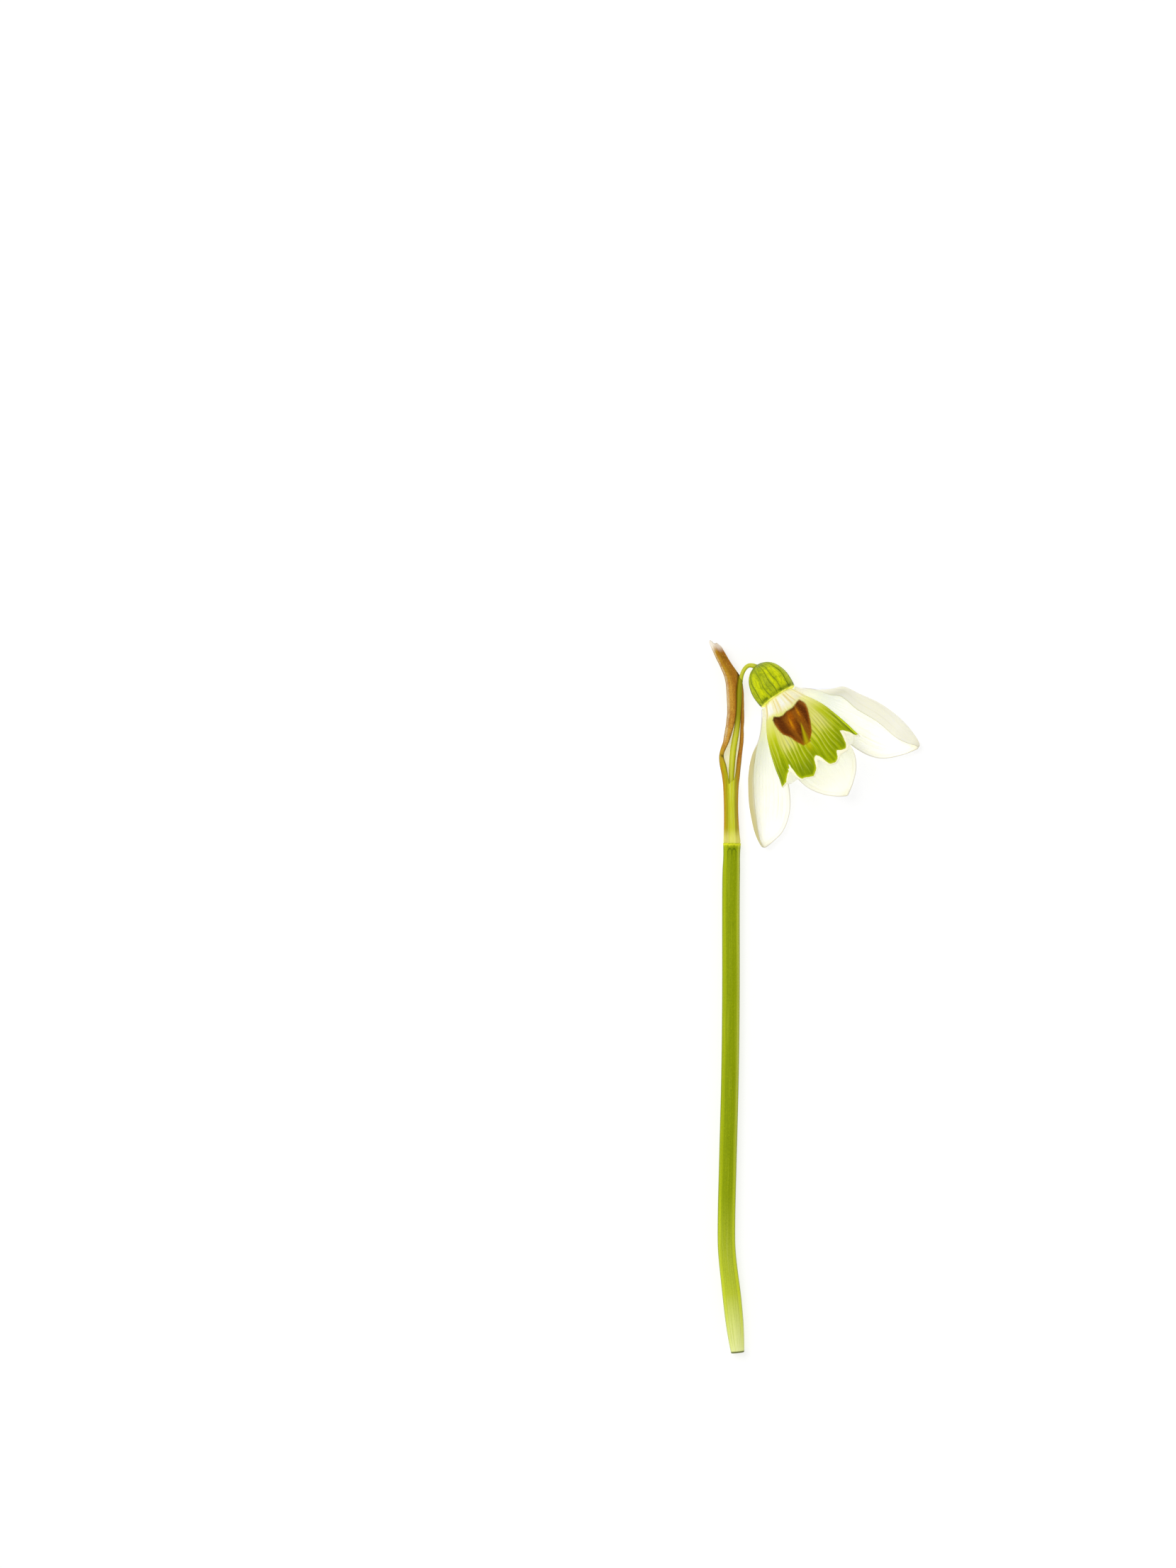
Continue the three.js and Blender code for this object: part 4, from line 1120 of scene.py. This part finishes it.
def half_section(reach, fold, slope, turn, radius, share):
    """Half of an outer tepal's section, at a share of its width counted along its curve: how far
    out from the midrib and how high above it, and how much of it is folded over."""
    end = slope + turn
    flat = radius * (np.sin(end) - math.sin(slope)) + fold * np.cos(end)
    rounding = np.where(end < math.pi / 2, flat, radius * (1 - math.sin(slope)))
    rise = np.maximum(reach - rounding, LEAST_RISE) / math.sin(slope)
    rise_length, turn_length = rise * slope, radius * turn
    arc = share * (rise_length + turn_length + fold)
    risen = np.minimum(arc, rise_length) / rise
    turned = slope + turn * np.clip((arc - rise_length) / np.maximum(turn_length, LEAST_LENGTH), 0, 1)
    margin = np.maximum(arc - rise_length - turn_length, 0)
    out = rise * np.sin(risen) + radius * (np.sin(turned) - math.sin(slope)) + margin * np.cos(end)
    up = rise * (1 - np.cos(risen)) + radius * (math.cos(slope) - np.cos(turned)) + margin * np.sin(end)
    fading = 1 - FOLD_FADING * margin / np.maximum(fold, LEAST_LENGTH)
    return out, up, smooth(turned, 1.2, 1.8) * fading


def outer_tepal_surface(shape):
    """The tepal's middle surface: sections square to a midrib that runs from its claw to its tip."""
    azimuth = math.pi if shape["side"] == 0 else shape["side"] * CLAW_AZIMUTH
    claw = head_point(math.sin(azimuth) * CLAW_RADIUS, math.cos(azimuth) * CLAW_RADIUS, CLAW_START)
    inwards = unit(head_point(0, 0, CLAW_START) - claw)
    tip = np.array([*shape["tip"], 0.0])
    run = (tip - claw) * [1, 1, 0]
    sideways = unit(np.array([-run[1], run[0], 0.0]))
    heights = [(0, claw[2]), *shape["height"]]
    handed = -1 if shape["side"] < 0 else 1
    slopes = {True: math.radians(shape["outer_slope"]), False: math.radians(shape["inner_slope"])}

    def midrib(t):
        t = np.asarray(t)[..., None]
        line = claw * [1, 1, 0] + run * t + sideways * (4 * shape["bow"] * t * (1 - t))
        line[..., 2] = through(heights, t[..., 0])
        return line

    def surface(u, v, folded=False):
        t = np.clip(v, 0, 1)
        along = unit(midrib(t + SMALL_STEP) - midrib(t - SMALL_STEP))
        centre = midrib(t) + along * ((v - t) * np.linalg.norm(run))[..., None]
        untwisted = smooth(t / UNTWIST_BY)[..., None]
        up = inwards * (1 - untwisted) + np.array([0, 0, 1.0]) * untwisted
        across = unit(np.cross(up, along)) * handed
        over = -handed * np.cross(across, along)
        share = np.abs(u - 0.5) * 2
        fold = np.maximum(through(shape["fold"], t), 0)
        turn = math.radians(shape["fold_turn"]) * smooth(t, *shape["folded_from"])
        radius = shape["fold_radius"] * (0.1 + 0.9 * smooth(t, 1.0, 0.8))
        outer = half_section(through(shape["outer"], t), fold, slopes[True], turn, radius, share)
        inner = half_section(through(shape["inner"], t), 0 * fold, slopes[False], 0 * turn, radius, share)
        out, rise, bent = (np.where(u > 0.5, a, b) for a, b in zip(outer, inner))
        place = centre + across * (out * np.sign(u - 0.5))[..., None] + over * rise[..., None]
        return (place, bent) if folded else place

    return surface


def make_outer_tepal(side, shape):
    """One of the three, with u across it, v along it from its claw, and marks that they place."""
    surface = outer_tepal_surface(shape)
    u, v = grid(*OUTER_GRID)
    v = v * (1 - CLAW_REACH) + CLAW_REACH
    middle, fold = surface(u, v, folded=True)
    normal = blade_normals(surface, u, v)
    if normal[..., 2].mean() < 0:
        middle, normal = middle[:, ::-1], -normal[:, ::-1]
        u, v, fold = u[:, ::-1], v[:, ::-1], fold[:, ::-1]
    edge = margin_distance(middle)
    offset = (u - 0.5) * 2
    seed = shape["seed"]
    wander = offset + 0.012 * np.sin(v * 9 + offset * 7)
    vein = sum(
        bump(wander, place, 0.012) * (0.6 + 0.4 * math.sin(place * 40 + seed)) for place in OUTER_VEINS
    )
    vein = vein * smooth(v, 0.02, 0.25) * smooth(v, 1.0, 0.7)
    wave = 0.06 * smooth(np.abs(offset), 0.55, 1.0) * np.sin(v * 11 + seed) * smooth(v, 0.3, 0.5)
    relief = -0.02 * vein + 0.05 * mottle(middle, 6, seed) + wave * smooth(v, 1.0, 0.85)
    marks = {
        "across": u,
        "along": v,
        # painted shade on the folded-over band, for its double layer and its own shadow
        "fold": fold * shape["fold_shade"],
        "inner_part": (1 - fold) * smooth(v, 0.04, 0.2),
        "vein": vein,
        "side_shade": smooth(np.abs(offset), 0.62, 0.98) * smooth(v, 0.1, 0.3),
        "claw": smooth(v, 0.2, 0.02),
        # painted light: a cool tint near the claw against the bell's yellow bounce light, more on the
        # right tepal
        "bounce_light_cooling": smooth(v, 0.6, 0.15) * (1 - fold) * (0.5 + 0.5 * (shape["side"] > 0)),
        "tip": smooth(v, 0.93, 1.0) * 0.6,
        "rim_line": bump(edge, 0.62, 0.1) * smooth(v, 0.6, 0.85) * (1 - fold),
        "outline": smooth(edge, 0.17, 0.07) * smooth(v, 0.02, 0.06) * (1 - 0.55 * fold),
        # painted light: each tepal glows by its own number, more on its folded band and near its claw
        # under the bell, lifting their shade
        "painted_glow": shape["painted_glow"] + 0.2 * fold + 0.12 * smooth(v, 0.45, 0.2),
    }
    bias = -(CAD_BLADE - TEPAL_THICKNESS) / 2
    name = f"outer_tepal_{side}"
    piece = shell(
        f"{name}_fine", middle, normal, edge, TEPAL_THICKNESS, relief, marks, bias, shape["under_painted_glow"]
    )
    dress(piece, OUTER_PAINT, "outer_tepal", name)


# Stamens

STAMEN_PAINT = Paint("stamen", (212, 138, 20), [
    ((150, 78, 10), 0.9, "groove"),
    ((122, 62, 8), 0.5, streaks(10, 12)),
    ((244, 240, 204), 1.0, "filament"),
    ((250, 224, 120), 0.7, "tip"),
], streaks(24, 60), depth=0.03, roughness=0.6)


def make_stamen(index):
    knots = np.array(STAMEN_STATIONS)
    reach = arc_lengths(knots[:, :2])
    t = np.linspace(0, reach[-1], STAMEN_STEPS)[:, None]
    out, along, wide, deep = columns_at(knots, reach, t)
    angle = once_round(STAMEN_SIDES)
    anther = smooth(along, 2.1, 2.6) * smooth(along, 8.8, 7.6)
    groove = anther * (bump(np.abs(np.cos(angle)), 1, 0.06) + 0.5 * bump(np.abs(np.sin(angle)), 1, 0.03))
    size = 1 - 0.22 * groove
    azimuth = (index - 0.5) / STAMEN_COUNT * 2 * math.pi
    radial = out + np.maximum(deep, LEAST_RADIUS) * size * np.cos(angle)
    tangential = np.maximum(wide, LEAST_RADIUS) * size * np.sin(angle)
    x = radial * math.cos(azimuth) - tangential * math.sin(azimuth)
    y = radial * math.sin(azimuth) + tangential * math.cos(azimuth)
    marks = {
        "across": np.abs(angle / math.pi - 1),
        "along": t / reach[-1],
        "groove": groove,
        "filament": smooth(along, 2.3, 2.0),
        "tip": smooth(along, 8.2, 9.0),
    }
    piece = round_body(f"stamen_fine_{index}", head_point(x, y, along), marks)
    dress(piece, STAMEN_PAINT, "stamen", f"stamen_{index}")


# Surface and light

def make_floor():
    mesh = bpy.data.meshes.new("floor")
    sides = ((-1, -1), (1, -1), (1, 1), (-1, 1))
    corners = [(x * FLOOR_HALF, y * FLOOR_HALF, -FLOOR_DEPTH) for x, y in sides]
    mesh.from_pydata(corners, [], [(0, 1, 2, 3)])
    paint = bpy.data.materials.new("floor")
    paint.use_nodes = True
    fill(paint.node_tree, paint.node_tree.nodes["Principled BSDF"], {
        "Base Color": (FLOOR_SHADE, FLOOR_SHADE, FLOOR_SHADE, 1),
        "Roughness": FLOOR_ROUGHNESS,
        "Specular IOR Level": 0.0,
        "Emission Color": (1, 1, 1, 1),
        "Emission Strength": FLOOR_GLOW,
    })
    mesh.materials.append(paint)
    placed("floor", mesh)


def make_lights():
    """A white sky, and a round softbox above the flower's upper left."""
    world = bpy.data.worlds.new("studio")
    world.use_nodes = True
    sky = {"Color": (1, 1, 1, 1), "Strength": SKY_STRENGTH}
    fill(world.node_tree, world.node_tree.nodes["Background"], sky)
    bpy.context.scene.world = world
    data = bpy.data.lights.new("softbox", "AREA")
    data.shape = "DISK"
    data.size = SOFTBOX_SIZE
    data.energy = SOFTBOX_POWER
    lamp = placed("softbox", data)
    lamp.location = Vector(SOFTBOX_PLACE)
    lamp.rotation_euler = (Vector(SOFTBOX_TARGET) - lamp.location).to_track_quat("-Z", "Y").to_euler()
    bpy.context.scene.view_settings.view_transform = "Standard"


make_camera()
make_floor()
make_lights()
make_scape()
make_spathe()
make_pedicel()
make_pistil()
for side, shape in (("right", RIGHT_TEPAL), ("left", LEFT_TEPAL), ("back", BACK_TEPAL)):
    make_outer_tepal(side, shape)
make_inner_tepal("front", FRONT_LOBES, FRONT_VEINS, FRONT_GRID)
make_inner_tepal("right", RIGHT_LOBES, RIGHT_VEINS, SIDE_GRID)
make_inner_tepal("left", LEFT_LOBES, LEFT_VEINS, SIDE_GRID)
for index in range(1, STAMEN_COUNT + 1):
    make_stamen(index)
